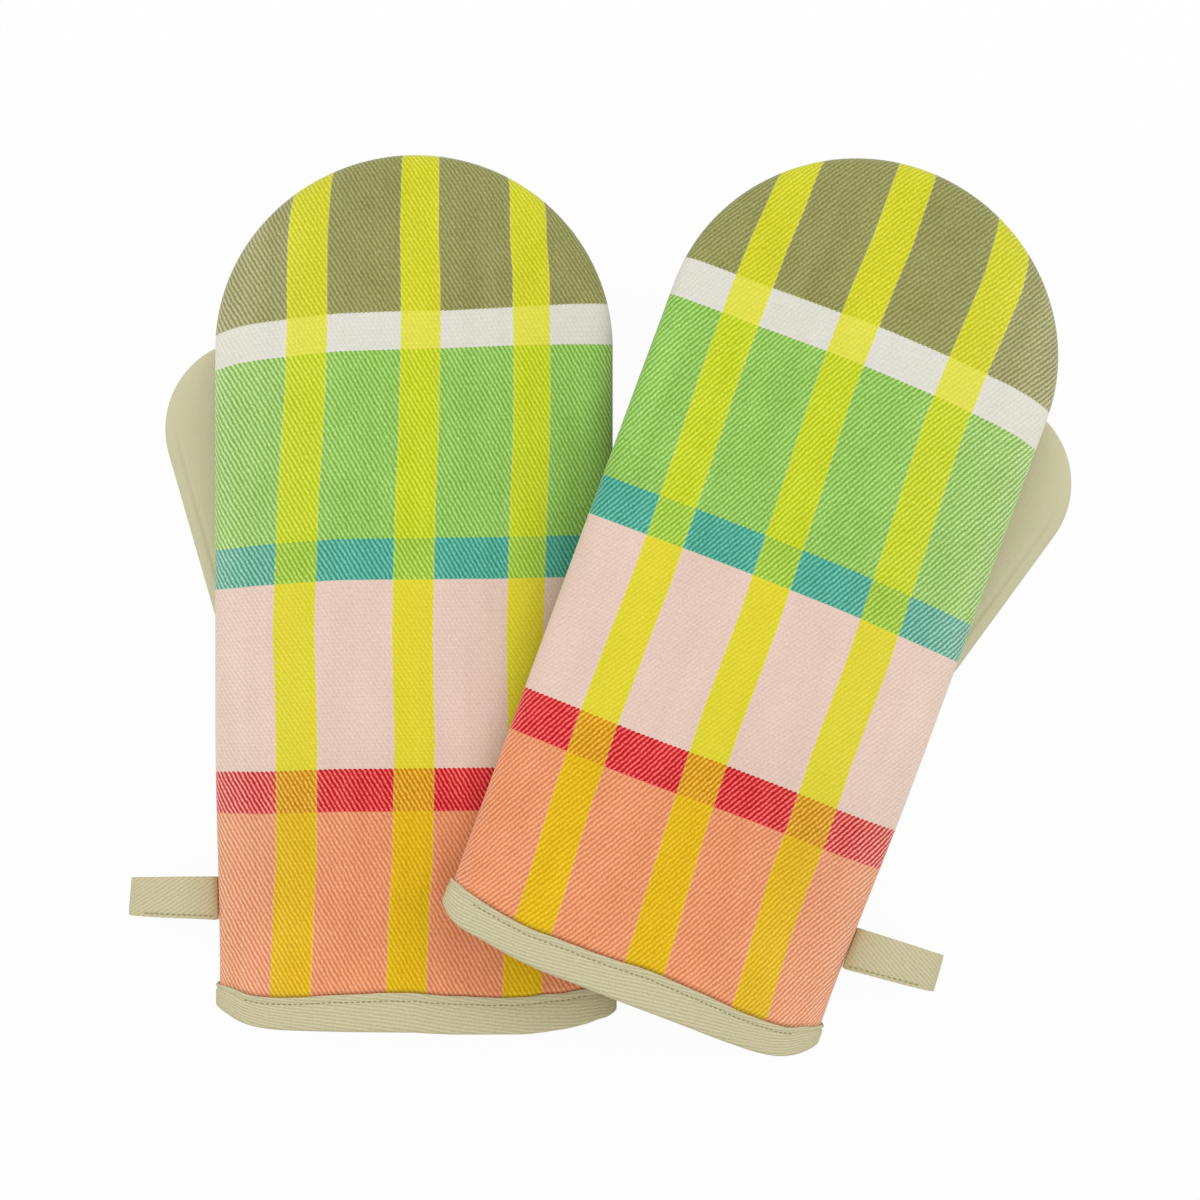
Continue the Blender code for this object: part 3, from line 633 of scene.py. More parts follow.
def checked_spots(glove, cloth):
    """Places on the check cloth, which was sewn a little crooked."""
    across, along = cloth[..., 0], cloth[..., 1]
    shift = stripe_drift(glove.name, across, along, glove.cloth.stripe_pitch)
    sag = band_droop(glove.name, across, along)
    sewn = (0.0, *BANDS_AS_SEWN[glove.name], CLOTH_LENGTH)
    flat = (*(low for _, low in BANDS), CLOTH_LENGTH)
    return np.stack([across - shift, np.interp(along - sag, sewn, flat)], axis=-1)


# Meshes: edges that bend by more than this many degrees stay sharp
SHARP_ANGLE = 50.0


def quads(shape, closed, left_out):
    """Faces over a grid of stations and rings."""
    index = np.arange(shape[0] * shape[1]).reshape(shape)
    here = index if closed else index[:-1]
    there = np.roll(index, -1, axis=0) if closed else index[1:]
    faces = np.stack([here[:, :-1], there[:, :-1], there[:, 1:], here[:, 1:]], axis=-1)
    keep = np.ones(faces.shape[:2], bool)
    for turn, ring in left_out:
        keep[turn, ring] = False
    return faces[keep]


def shell(name, glove, outer, inner, cloth, material, closed=False, left_out=()):
    """A closed wall between two grids of points, with its place on the cloth as a UV map."""
    faces = quads(outer.shape[:2], closed, left_out)
    flat_outer = outer.reshape(-1, 3)
    _, first, inverse = np.unique(
        np.round(flat_outer, 7), axis=0, return_index=True, return_inverse=True
    )
    faces = first[inverse.reshape(-1)][faces]
    used = np.unique(faces)
    renumber = np.full(len(flat_outer), -1)
    renumber[used] = np.arange(len(used))
    faces = renumber[faces]
    count = len(used)
    trimmed = [list(dict.fromkeys(face)) for face in faces.tolist()]
    trimmed = [face for face in trimmed if len(face) > 2]
    edges = dict.fromkeys(
        (corner, face[(place + 1) % len(face)]) for face in trimmed for place, corner in enumerate(face)
    )
    border = [edge for edge in edges if (edge[1], edge[0]) not in edges]
    walls = [(b, a, a + count, b + count) for a, b in border]
    back = [[corner + count for corner in reversed(face)] for face in trimmed]
    spots = np.concatenate([flat_outer[used], inner.reshape(-1, 3)[used]])
    unwrapped = np.concatenate([cloth.reshape(-1, 2)[used]] * 2)
    return solid(name, glove.place(spots), trimmed + back + walls, unwrapped, material)


def solid(name, spots, faces, unwrapped, material):
    """A mesh object from points and faces, turned the right way out."""
    mesh = bpy.data.meshes.new(name)
    mesh.from_pydata(spots.tolist(), [], faces)
    mesh.calc_loop_triangles()
    corners = np.empty(len(mesh.loop_triangles) * 3, int)
    mesh.loop_triangles.foreach_get("vertices", corners)
    a, b, c = (spots[corners.reshape(-1, 3)[:, place]] for place in range(3))
    if np.einsum("ij,ij->i", a, np.cross(b, c)).sum() < 0.0:
        mesh.flip_normals()
    loops = np.empty(len(mesh.loops), int)
    mesh.loops.foreach_get("vertex_index", loops)
    layer = mesh.uv_layers.new(name="cloth")
    layer.data.foreach_set("uv", unwrapped[loops].astype(np.float32).ravel())
    mesh.shade_smooth()
    mesh.set_sharp_from_angle(angle=math.radians(SHARP_ANGLE))
    mesh.materials.append(material)
    thing = bpy.data.objects.new(name, mesh)
    bpy.context.scene.collection.objects.link(thing)
    return thing


def layer_spots(glove, layer, point, side, stations, shares):
    """The outer and the inner grid of one layer of a wall."""
    return [point(stations, shares, inset, side) for inset in glove.insets[layer]]


def hand_shares(glove):
    """Rings across the hand, with one at each end of the thumb's slot."""
    shape = glove.shape
    near = (shape.thumb_offset - shape.slot_width / 2) / glove.half
    far = (shape.thumb_offset + shape.slot_width / 2) / glove.half
    return rim_shares(34, (near, far)), near, far


# The swelling of the padding: the cloth that is blown up, how fine it is and how it is measured
SWELL_SETTINGS = {
    "use_pressure": True, "quality": 5, "mass": 0.3, "tension_stiffness": 40.0,
    "compression_stiffness": 20.0, "bending_stiffness": 0.6,
}
SWELL_FRAMES, PILLOW_STEP, SWELL_VOXEL, SWELL_STEP = 20, 0.006, 0.005, 0.004
PROBE_HEIGHT, SMOOTHINGS = 0.2, 12
# Where the swelling ends: near the rim, over the tape and beside the other glove
SWELL_RIM, SWELL_TAPE, SWELL_BESIDE = (0.72, 0.26), (0.002, 0.03), (0.004, 0.035)


def pillow(glove, step):
    """The glove's outside as one closed form, to be blown up."""
    stations = glove.dome(rows(0.0, glove.tip_base, step), 40)
    shares = rim_shares(20)
    top = glove.hand_spots(stations, shares, 0.0, BACK)
    base = glove.hand_spots(stations, shares, 0.0, PALM)
    cloth = cloth_spots(top, glove.flat_spots(stations, shares, 0.0))
    name = f"{glove.name}_pillow"
    return shell(name, glove, top, base, cloth, bpy.data.materials["Padding"])


def surface(thing):
    """A search tree over an object's finished mesh."""
    graph = bpy.context.evaluated_depsgraph_get()
    return BVHTree.FromObject(thing, graph)


def swell(glove):
    """Blow the glove up as cloth, and keep how far its back rises or sinks."""
    thing = pillow(glove, PILLOW_STEP)
    remesh = thing.modifiers.new("even", "REMESH")
    remesh.mode = "VOXEL"
    remesh.voxel_size = SWELL_VOXEL
    graph = bpy.context.evaluated_depsgraph_get()
    even = bpy.data.meshes.new_from_object(thing.evaluated_get(graph))
    thing.modifiers.clear()
    old, thing.data = thing.data, even
    bpy.data.meshes.remove(old)
    bpy.context.view_layer.update()
    before = surface(thing)
    cloth = thing.modifiers.new("swell", "CLOTH")
    for setting, value in SWELL_SETTINGS.items():
        setattr(cloth.settings, setting, value)
    cloth.settings.uniform_pressure_force = glove.lay.pressure
    cloth.settings.effector_weights.gravity = 0.0
    cloth.point_cache.frame_start, cloth.point_cache.frame_end = 1, SWELL_FRAMES
    for moment in range(1, SWELL_FRAMES + 1):
        bpy.context.scene.frame_set(moment)
    after = surface(thing)
    bpy.context.scene.frame_set(1)
    columns = np.arange(-glove.half, glove.half + SWELL_STEP, SWELL_STEP)
    lines = np.arange(0.0, glove.shape.glove_length + SWELL_STEP, SWELL_STEP)
    spots = np.stack(np.meshgrid(columns, lines, indexing="ij"), axis=-1)
    spots = np.concatenate([spots, np.full(spots.shape[:2] + (1,), PROBE_HEIGHT)], axis=-1)
    placed = glove.place(spots)
    grid = np.zeros(spots.shape[:2])
    down = Vector((0.0, 0.0, -1.0))
    for i in range(grid.shape[0]):
        for j in range(grid.shape[1]):
            start = Vector(placed[i, j])
            old_hit, new_hit = before.ray_cast(start, down)[0], after.ray_cast(start, down)[0]
            if old_hit and new_hit:
                grid[i, j] = new_hit.z - old_hit.z
    bpy.data.objects.remove(thing)
    if not np.any(grid):
        raise RuntimeError(f"The padding of {glove.name} didn't swell")
    grid = grid - np.median(grid[abs(grid) > 0])
    limit = glove.lay.swell
    grid = np.clip(grid * limit / np.percentile(abs(grid), 95), -limit, limit)
    for _ in range(SMOOTHINGS):
        grid = smoothed(grid)
    grid = grid * rim_fade(glove, spots[..., 0], spots[..., 1])
    glove.swell_grid = (SWELL_STEP, (columns[0], lines[0]), grid)


def smoothed(grid):
    """A grid with each value eased towards its neighbours."""
    wide = np.pad(grid, 1, mode="edge")
    beside = wide[:-2, 1:-1] + wide[2:, 1:-1] + wide[1:-1, :-2] + wide[1:-1, 2:]
    return 0.5 * grid + 0.125 * beside


def rim_fade(glove, across, along):
    """1 over the hand, and 0 at its rim, at its cuff and under the other glove."""
    tip = np.hypot(across / glove.half, (along - glove.tip_base) / glove.shape.fingertip)
    share = np.where(along > glove.tip_base, tip, abs(across) / glove.half)
    fade = 1.0 - ease_from(share, *SWELL_RIM)
    fade = fade * ease_from(along - glove.trim.tape_width, *SWELL_TAPE)
    if glove.upper:
        return fade
    lay = glove.lay
    x, y = across - lay.across, along - lay.along
    cosine, sine = math.cos(lay.turn), math.sin(lay.turn)
    u, v = cosine * x + sine * y, cosine * y - sine * x
    outside = np.maximum(abs(u) - glove.half, np.maximum(-v, v - glove.shape.glove_length))
    return fade * ease_from(outside, *SWELL_BESIDE)


GLOVES = {}


def gloves():
    """Both gloves, made once and kept; the backs step adds the swelling of their padding."""
    if not GLOVES:
        for name in HANDS:
            GLOVES[name] = Glove(name)
    return GLOVES.values()


# Lengths from a thumb's heel and from a loop's root to a second point along it
THUMB_BEND, LOOP_BEND = 0.050, 0.008


def dress(thing, glove, node, body):
    """Let a finished piece stand for its CAD node: a thumb or a loop is baked where it lies, any other piece
    moves with its body.
    """
    if body.endswith("_thumb"):
        heel = np.array([glove.thumb_centre(glove.heel), glove.heel, glove.shape.thumb_loft])
        end = heel + np.array([0.0, THUMB_BEND, 0.0])
        start, end = glove.place(heel), glove.place(end)
        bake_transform(thing)
    elif body.endswith("_loop"):
        root, droop = loop_root(glove)
        away = root - LOOP_BEND * np.array([math.cos(droop), 0.0, math.sin(droop)])
        start, end = glove.place(root), glove.place(away)
        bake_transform(thing)
    else:
        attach(thing, body)
    if node:
        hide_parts(node)


def declare(thing, layer):
    """Read the face areas of a wall's layer, unless it is padding; they are not used."""
    if layer == "batting":
        return
    mesh = thing.data
    areas = np.empty(len(mesh.polygons))
    mesh.polygons.foreach_get("area", areas)


# Each layer's material and slot
COVERS = {
    "check": ("Check twill", "check_twill"), "panel": ("Sage drill", "sage_drill"),
    "batting": ("Padding", "batting"), "lining": ("Lining", "lining"),
}
# Steps between stations: on the back under the tape, round its edge and beyond, then palm and thumb
BACK_STEPS, EDGE_ZONE, PALM_STEP, THUMB_STEP = (0.002, 0.0005, 0.0025), 0.004, 0.004, 0.003


def sew(glove, piece, layer, spots, cloth, body="glove", closed=False, left_out=()):
    """One layer of a wall: its shell, the node it stands for and its body."""
    node = f"{glove.name}_{piece}_{layer}"
    check = node.endswith("_back_panel")
    cover, slot = COVERS["check" if check else layer]
    marked = checked_spots(glove, cloth) if check else cloth
    material = bpy.data.materials[cover]
    thing = shell(f"{node}_cloth", glove, *spots, marked, material, closed, left_out)
    declare(thing, layer)
    dress(thing, glove, node, f"{glove.name}_{body}")


class GLOVE_OT_backs(bpy.types.Operator):
    """Sew the check backs with their padding and lining"""

    bl_idname = "oven_glove.backs"
    bl_label = "Backs"

    def execute(self, context):
        for glove in gloves():
            shares, _, _ = hand_shares(glove)
            low, high = glove.trim.tape_width - EDGE_ZONE, glove.trim.tape_width + EDGE_ZONE
            heights = rows(glove.cuff_edge, low, BACK_STEPS[0]) + rows(low, high, BACK_STEPS[1])[1:]
            heights = heights + rows(high, glove.tip_base, BACK_STEPS[2])[1:]
            stations = glove.dome(heights, 64)
            flat = glove.flat_spots(stations, shares, 0.0)
            cloth = cloth_spots(glove.hand_spots(stations, shares, 0.0, BACK), flat)
            swell(glove)
            glove.puffed = True
            for layer in LAYERS:
                spots = layer_spots(glove, layer, glove.hand_spots, BACK, stations, shares)
                sew(glove, "back", layer, spots, cloth)
        return {"FINISHED"}


class GLOVE_OT_palms(bpy.types.Operator):
    """Sew the plain palms, in two pieces each, with a slot for the thumb"""

    bl_idname = "oven_glove.palms"
    bl_label = "Palms"

    def execute(self, context):
        for glove in gloves():
            shares, near, far = hand_shares(glove)
            rings = [place for place, share in enumerate(shares[:-1]) if near - 1e-6 <= share < far - 1e-6]
            seam, half_gap = glove.shape.palm_seam, glove.shape.clearance / 2
            heights = rows(glove.cuff_edge, seam - half_gap, PALM_STEP)
            up, down = glove.strip(heights)
            across_seam = [(len(up) - 1, ring) for ring in range(len(shares) - 1)]
            self.piece(glove, "palm_lower", up + down, shares, across_seam)
            low = rows(seam + half_gap, glove.mouth, PALM_STEP)
            heights = low + rows(glove.mouth, glove.tip_base, PALM_STEP)[1:]
            slot = [(turn, ring) for turn in range(len(low) - 1) for ring in rings]
            self.piece(glove, "palm_upper", glove.dome(heights, 48), shares, slot)
        return {"FINISHED"}

    def piece(self, glove, name, stations, shares, left_out):
        """One piece of the palm in its three layers."""
        flat = glove.flat_spots(stations, shares, 0.0)
        cloth = cloth_spots(glove.hand_spots(stations, shares, 0.0, PALM), flat)
        for layer in LAYERS:
            spots = layer_spots(glove, layer, glove.hand_spots, PALM, stations, shares)
            sew(glove, name, layer, spots, cloth, left_out=left_out)


def slot_faces(glove, stations, shares):
    """The faces of the thumb's palm side that would close its slot."""
    spots = glove.flat_spots(stations, shares, 0.0)
    after = np.roll(spots, -1, axis=0)
    middle = (spots[:, :-1] + spots[:, 1:] + after[:, :-1] + after[:, 1:]) / 4
    shape = glove.shape
    open_here = abs(middle[..., 0] + shape.thumb_offset) < shape.slot_width / 2
    open_here &= (middle[..., 1] > shape.palm_seam) & (middle[..., 1] < glove.mouth)
    return [tuple(place) for place in np.argwhere(open_here)]


class GLOVE_OT_thumbs(bpy.types.Operator):
    """Sew the plain thumbs, folded under the palms"""

    bl_idname = "oven_glove.thumbs"
    bl_label = "Thumbs"

    def execute(self, context):
        for glove in gloves():
            shares = rim_shares(40)
            for piece, side in (("thumb_front", BACK), ("thumb_rear", PALM)):
                for layer in LAYERS:
                    stations = glove.thumb_round(THUMB_STEP, 44)
                    closed = side == PALM or layer == "panel"
                    if closed:
                        stations = stations + glove.heel_round(28)
                    slot = slot_faces(glove, stations, shares) if closed and side == BACK else ()
                    flat = glove.flat_spots(stations, shares, 0.0)
                    cloth = cloth_spots(glove.thumb_spots(stations, shares, 0.0, side), flat)
                    spots = layer_spots(glove, layer, glove.thumb_spots, side, stations, shares)
                    sew(glove, piece, layer, spots, cloth, "thumb", closed, slot)
        return {"FINISHED"}


# How wide the stitches' dent is, how much the tape's sewn edge is rolled in, and how far that reaches
DENT_REACH, EDGE_ROLL, EDGE_REACH = 0.0011, 0.35, 0.0007


def tape_section(glove):
    """The folded tape's section: along the glove, and inset from its outside."""
    trim, gap = glove.trim, glove.shape.clearance
    thick, wide = trim.tape_thickness, trim.tape_width
    outside, inside = -glove.build_up, glove.wall + glove.build_up
    middle = (outside + inside) / 2
    radius = (inside - outside) / 2
    section = []
    for height in np.linspace(wide, glove.fold, 16):
        dent = trim.tape_dent * math.exp(-(((wide - trim.stitch_drop - height) / DENT_REACH) ** 2))
        edge = EDGE_ROLL * thick * math.exp(-((wide - height) / EDGE_REACH) ** 2)
        section.append((height, outside + dent + edge))
    for turn in np.linspace(0.0, math.pi, 12)[1:-1]:
        squared = math.copysign(abs(math.cos(turn)) ** 0.5, math.cos(turn))
        section.append((glove.fold * (1 - math.sin(turn) ** 0.6), middle - radius * squared))
    section += [(height, inside) for height in np.linspace(glove.fold, wide, 10)]
    inner = glove.wall + gap
    return section + [(wide, inner), (thick, inner), (thick, -gap), (wide, -gap)]


def cuff_round(glove, count):
    """Places round the cuff's mouth: side, share of the half width, and back or palm."""
    shares = list(rim_shares(count))
    places = [(THUMB_SIDE, share, BACK) for share in reversed(shares)]
    places += [(FAR_SIDE, share, BACK) for share in shares[1:-1]]
    places += [(FAR_SIDE, share, PALM) for share in reversed(shares)]
    places += [(THUMB_SIDE, share, PALM) for share in shares[1:-1]]
    return places


# How soon the waver of the tape's edge ends on the palm's side, away from the side seam
PALM_WAVER_POWER = 30


def cuff_spot(glove, place, height, inset):
    """One point of the tape round the cuff."""
    side, share, face = place
    root, wide = glove.fold, glove.trim.tape_width
    waver = float(glove.tape_edge(np.array(side * share * glove.half))) - wide
    if face == PALM:
        waver *= share ** PALM_WAVER_POWER
    height += waver * max(0.0, (height - root) / (wide - root))
    spot = glove.hand_spots([glove.side_station(height, side)], [share], inset, face)[0, 0]
    if share == 1.0:
        spot[2] -= face * glove.shape.clearance / 2
    return spot


class GLOVE_OT_cuffs(bpy.types.Operator):
    """Fold the tape over the cuffs"""

    bl_idname = "oven_glove.cuffs"
    bl_label = "Cuff tapes"

    def execute(self, context):
        for glove in gloves():
            section, places = tape_section(glove), cuff_round(glove, 30)
            spots = np.array([[cuff_spot(glove, place, *point) for point in section] for place in places])
            runs = np.linalg.norm(np.diff(np.concatenate([spots[:, 4], spots[:1, 4]]), axis=0), axis=-1)
            along = np.concatenate([[0.0], np.cumsum(runs)[:-1]])
            steps = np.hypot(*np.diff(np.array(section), axis=0).T)
            down = np.concatenate([[0.0], np.cumsum(steps)])
            cloth = np.stack(np.meshgrid(along, -down, indexing="ij"), axis=-1)
            count, size = spots.shape[:2]
            index = np.arange(count * size).reshape(count, size)
            there, after = np.roll(index, -1, axis=0), np.roll(index, -1, axis=1)
            faces = np.stack([index, after, np.roll(after, -1, axis=0), there], axis=-1)
            thing = solid(
                f"{glove.name}_cuff_tape", glove.place(spots.reshape(-1, 3)),
                faces.reshape(-1, 4).tolist(), cloth.reshape(-1, 2),
                bpy.data.materials["Sage tape"],
            )
            dress(thing, glove, f"{glove.name}_cuff_binding", f"{glove.name}_glove")
        return {"FINISHED"}


# How each loop is sewn in: how much lower than drawn, its tilt, and its reach as a share
LOOP_SEWN = {"right_hand": (0.0009, 0.0, 0.965), "left_hand": (0.0056, 0.052, 1.014)}
# How much further out the lower corner of a loop's fold lies
LOOP_SLANT = 0.00065
# How far a loop's root is sunk in the seam, in clearances, how fast the loop narrows towards its
# fold, in flares, and how much its tape thins at its edges
LOOP_SUNK, LOOP_NARROWING, LOOP_SOFT_EDGE = 0.8, 1.6, 0.00022


def loop_root(glove):
    """Centre of the loop's root on the side seam, and the angle at which the loop droops."""
    trim, gap = glove.trim, glove.shape.clearance
    nose = trim.loop_eye / 2 + trim.loop_strip
    root_radius = trim.loop_strip + gap / 2
    up = float(glove.seam_height(np.array(-glove.half), np.array(trim.loop_height)))
    droop = math.asin((up - nose) / (trim.loop_length - nose))
    height = trim.loop_height - LOOP_SEWN[glove.name][0]
    return np.array([-glove.half - gap - root_radius, height, up]), droop


def loop_profile(glove):
    """The loop's tape from its upper end round to its lower end: outer and inner edge."""
    trim, gap = glove.trim, glove.shape.clearance
    eye, strip = trim.loop_eye / 2, trim.loop_strip
    reach_end = trim.loop_length - eye - strip
    root, start = strip + gap / 2, gap / 2
    sunk = -root - LOOP_SUNK * gap
    outer, inner = [(sunk, root / 2)], [(sunk, start)]
    for reach in np.linspace(-root / 2, reach_end, 24):
        opened = start + (eye - start) * float(ease(reach / reach_end))
        outer.append((reach, opened + strip))
        inner.append((reach, opened))
    for turn in np.linspace(math.pi / 2, 0.0, 10)[1:]:
        outer.append((reach_end + math.cos(turn) * (eye + strip), math.sin(turn) * (eye + strip)))
        inner.append((reach_end + math.cos(turn) * eye, math.sin(turn) * eye))
    outer += [(reach, -up) for reach, up in reversed(outer[:-1])]
    inner += [(reach, -up) for reach, up in reversed(inner[:-1])]
    return np.array(outer), np.array(inner)


def loop_taper(glove, profile):
    """Width of the loop along its profile, as a share: less at the fold and in the lower strip."""
    trim = glove.trim
    out = np.clip(profile[:, 0] / trim.loop_length, 0.0, 1.0)
    lower = ease(0.5 - profile[:, 1] / trim.loop_eye)
    flare = trim.loop_flare - LOOP_NARROWING * trim.loop_flare * out
    return (1.0 + flare) * (1.0 - trim.loop_under * lower)


def loop_place(glove, profile, height):
    """Points of the loop's profile at a height over its middle."""
    root, droop = loop_root(glove)
    _, tilt, share = LOOP_SEWN[glove.name]
    out = np.maximum(profile[:, 0], 0.0)
    slant = -LOOP_SLANT * height / glove.trim.loop_width * 2.0
    reach = profile[:, 0] + out * (share - 1.0 + slant / glove.trim.loop_length)
    along = root[1] + height * loop_taper(glove, profile) + out * tilt
    across = root[0] - reach * math.cos(droop) - profile[:, 1] * math.sin(droop)
    up = root[2] - reach * math.sin(droop) + profile[:, 1] * math.cos(droop)
    return np.stack([across, along, up], axis=-1)


class GLOVE_OT_loops(bpy.types.Operator):
    """Fold the hanging loops"""

    bl_idname = "oven_glove.loops"
    bl_label = "Hanging loops"

    def execute(self, context):
        for glove in gloves():
            outer, inner = loop_profile(glove)
            trim = glove.trim
            edge = trim.loop_width / 2
            heights = np.linspace(-edge, edge, 9)
            runs = np.linalg.norm(np.diff(outer, axis=0), axis=-1)
            run = np.concatenate([[0.0], np.cumsum(runs)])
            grids = []
            for profile, away in ((outer, -1.0), (inner, 1.0)):
                lines = []
                for height in heights:
                    soft = LOOP_SOFT_EDGE * away * (abs(height) / edge) ** 6
                    pulled = profile.copy()
                    pulled[:, 1] += soft * np.sign(profile[:, 1])
                    lines.append(loop_place(glove, pulled, height))
                grids.append(np.stack(lines, axis=1))
            cloth = np.stack(np.meshgrid(run, heights, indexing="ij"), axis=-1)
            name, material = f"{glove.name}_loop_tape", bpy.data.materials["Sage loop tape"]
            thing = shell(name, glove, grids[0], grids[1], cloth, material)
            dress(thing, glove, f"{glove.name}_hanging_loop", f"{glove.name}_loop")
        return {"FINISHED"}


# Stitches
def stitch_tree():
    """A node group that lays stitches along a path."""
    tree = bpy.data.node_groups.new("Stitches along a path", "GeometryNodeTree")
    face = tree.interface
    face.new_socket("Path", in_out="INPUT", socket_type="NodeSocketGeometry")
    for name in ("Pitch", "Length", "Thread"):
        face.new_socket(name, in_out="INPUT", socket_type="NodeSocketFloat")
    face.new_socket("Material", in_out="INPUT", socket_type="NodeSocketMaterial")
    face.new_socket("Stitches", in_out="OUTPUT", socket_type="NodeSocketGeometry")
    node = tree.nodes.new
    start, end = node("NodeGroupInput"), node("NodeGroupOutput")
    curve, spaced = node("GeometryNodeMeshToCurve"), node("GeometryNodeResampleCurve")
    spaced.mode = "LENGTH"
    bead = node("GeometryNodeMeshUVSphere")
    bead.inputs["Segments"].default_value = 8
    bead.inputs["Rings"].default_value = 6
    bead.inputs["Radius"].default_value = 0.5
    size = node("ShaderNodeCombineXYZ")
    tangent, turn = node("GeometryNodeInputTangent"), node("FunctionNodeAlignRotationToVector")
    turn.axis = "X"
    placed, real = node("GeometryNodeInstanceOnPoints"), node("GeometryNodeRealizeInstances")
    cover = node("GeometryNodeSetMaterial")
    link = tree.links.new
    link(start.outputs["Path"], curve.inputs["Mesh"])
    link(curve.outputs["Curve"], spaced.inputs["Curve"])
    link(start.outputs["Pitch"], spaced.inputs["Length"])
    link(start.outputs["Length"], size.inputs["X"])
    link(start.outputs["Thread"], size.inputs["Y"])
    link(start.outputs["Thread"], size.inputs["Z"])
    link(tangent.outputs["Tangent"], turn.inputs["Vector"])
    link(spaced.outputs["Curve"], placed.inputs["Points"])
    link(bead.outputs["Mesh"], placed.inputs["Instance"])
    link(turn.outputs["Rotation"], placed.inputs["Rotation"])
    link(size.outputs["Vector"], placed.inputs["Scale"])
    link(placed.outputs["Instances"], real.inputs["Geometry"])
    link(real.outputs["Geometry"], cover.inputs["Geometry"])
    link(start.outputs["Material"], cover.inputs["Material"])
    link(cover.outputs["Geometry"], end.inputs["Stitches"])
    return tree


def stitch_row(name, glove, path, tree):
    """A row of stitches along a path, as a plain mesh."""
    mesh = bpy.data.meshes.new(name)
    mesh.from_pydata(glove.place(path).tolist(), [(i, i + 1) for i in range(len(path) - 1)], [])
    thing = bpy.data.objects.new(name, mesh)
    bpy.context.scene.collection.objects.link(thing)
    modifier = thing.modifiers.new("stitches", "NODES")
    modifier.node_group = tree
    trim = glove.trim
    values = {
        "Pitch": trim.stitch_pitch, "Length": trim.stitch_length, "Thread": trim.thread,
        "Material": bpy.data.materials["Stitch thread"],
    }
    for item in tree.interface.items_tree:
        if item.name in values and item.in_out == "INPUT":
            modifier[item.identifier] = values[item.name]
    bpy.context.view_layer.update()
    graph = bpy.context.evaluated_depsgraph_get()
    real = bpy.data.meshes.new_from_object(thing.evaluated_get(graph))
    thing.modifiers.clear()
    thing.data = real
    bpy.data.meshes.remove(mesh)
    real.shade_smooth()
    if not real.polygons:
        raise RuntimeError(f"{name} has no stitches")
    return thing


# How far from its middle a cuff is stitched, as a share, and how far the thread stands out, in threads
STITCHED_SHARE, THREAD_PROUD = 0.85, 0.2
# Which points of a loop's profile are stitched, and how far from the tape's lower edge
LOOP_STITCHED, LOOP_STITCH_INSET = slice(2, 22), 0.0014


class GLOVE_OT_stitches(bpy.types.Operator):
    """Topstitch the cuff tapes and the loops"""

    bl_idname = "oven_glove.stitches"
    bl_label = "Stitches"

    def execute(self, context):
        tree = stitch_tree()
        for glove in gloves():
            trim = glove.trim
            line = trim.tape_width - trim.stitch_drop
            proud = -glove.build_up + trim.tape_dent - trim.thread * THREAD_PROUD
            places = [place for place in cuff_round(glove, 60) if place[1] < STITCHED_SHARE]
            for face, label in ((BACK, "back"), (PALM, "palm")):
                path = sorted(
                    (tuple(cuff_spot(glove, place, line, proud)) for place in places if place[2] == face)
                )
                path = np.array(path)
                if face == PALM:
                    path[:, 2] = np.maximum(path[:, 2], trim.thread / 2)
                name = f"{glove.name}_cuff_stitches_{label}"
                dress(stitch_row(name, glove, path, tree), glove, None, f"{glove.name}_glove")
            outer = loop_profile(glove)[0][LOOP_STITCHED]
            outer[:, 1] += trim.thread * THREAD_PROUD
            path = loop_place(glove, outer, LOOP_STITCH_INSET - trim.loop_width / 2)
            name = f"{glove.name}_loop_stitches"
            dress(stitch_row(name, glove, path, tree), glove, None, f"{glove.name}_loop")
        return {"FINISHED"}


# Materials
class Nodes:
    """A node tree, with short ways to add to it."""

    def __init__(self, tree):
        self.tree = tree

    def add(self, kind, **settings):
        """A node with its plain settings."""
        node = self.tree.nodes.new(kind)
        for name, value in settings.items():
            setattr(node, name, value)
        return node

    def feed(self, socket, value):
        """Link a socket to another one's value, or set it."""
        if isinstance(value, bpy.types.NodeSocket):
            self.tree.links.new(value, socket)
        else:
            socket.default_value = value

    def math(self, operation, *values):
        """A sum of one, two or three values."""
        node = self.add("ShaderNodeMath", operation=operation)
        for socket, value in zip(node.inputs, values):
            self.feed(socket, value)
        return node.outputs["Value"]

    def mix(self, share, first, second, blend="MIX"):
        """One colour mixed with another."""
        node = self.add("ShaderNodeMix", data_type="RGBA", blend_type=blend)
        self.feed(node.inputs["Factor"], share)
        for socket, value in ((node.inputs[6], first), (node.inputs[7], second)):
            self.feed(socket, value)
        return node.outputs[2]

    def wave(self, phase):
        """A wave between -1 and 1, from a phase in whole turns."""
        return self.math("SINE", self.math("MULTIPLY", phase, 2 * math.pi))

    def spread(self, noise, reach):
        """Noise moved to lie about zero, and spread out."""
        return self.math("MULTIPLY", self.math("SUBTRACT", noise, 0.5), reach)

    def noise(self, vector, scale, detail=2.0):
        """Soft noise between 0 and 1."""
        node = self.add("ShaderNodeTexNoise")
        self.feed(node.inputs["Vector"], vector)
        self.feed(node.inputs["Scale"], scale)
        self.feed(node.inputs["Detail"], detail)
        return node.outputs["Fac"]

    def vector(self, x, y, z=0.0):
        """A vector of three values."""
        node = self.add("ShaderNodeCombineXYZ")
        for socket, value in zip(node.inputs, (x, y, z)):
            self.feed(socket, value)
        return node.outputs["Vector"]

    def stretched(self, x, y, sizes):
        """A vector of two values, each times its own number."""
        return self.vector(*(self.math("MULTIPLY", value, size) for value, size in zip((x, y), sizes)))

    def scaled(self, colour, factor):
        """A colour times a factor."""
        node = self.add("ShaderNodeVectorMath", operation="SCALE")
        self.feed(node.inputs[0], (*colour,))
        self.feed(node.inputs["Scale"], factor)
        return node.outputs["Vector"]


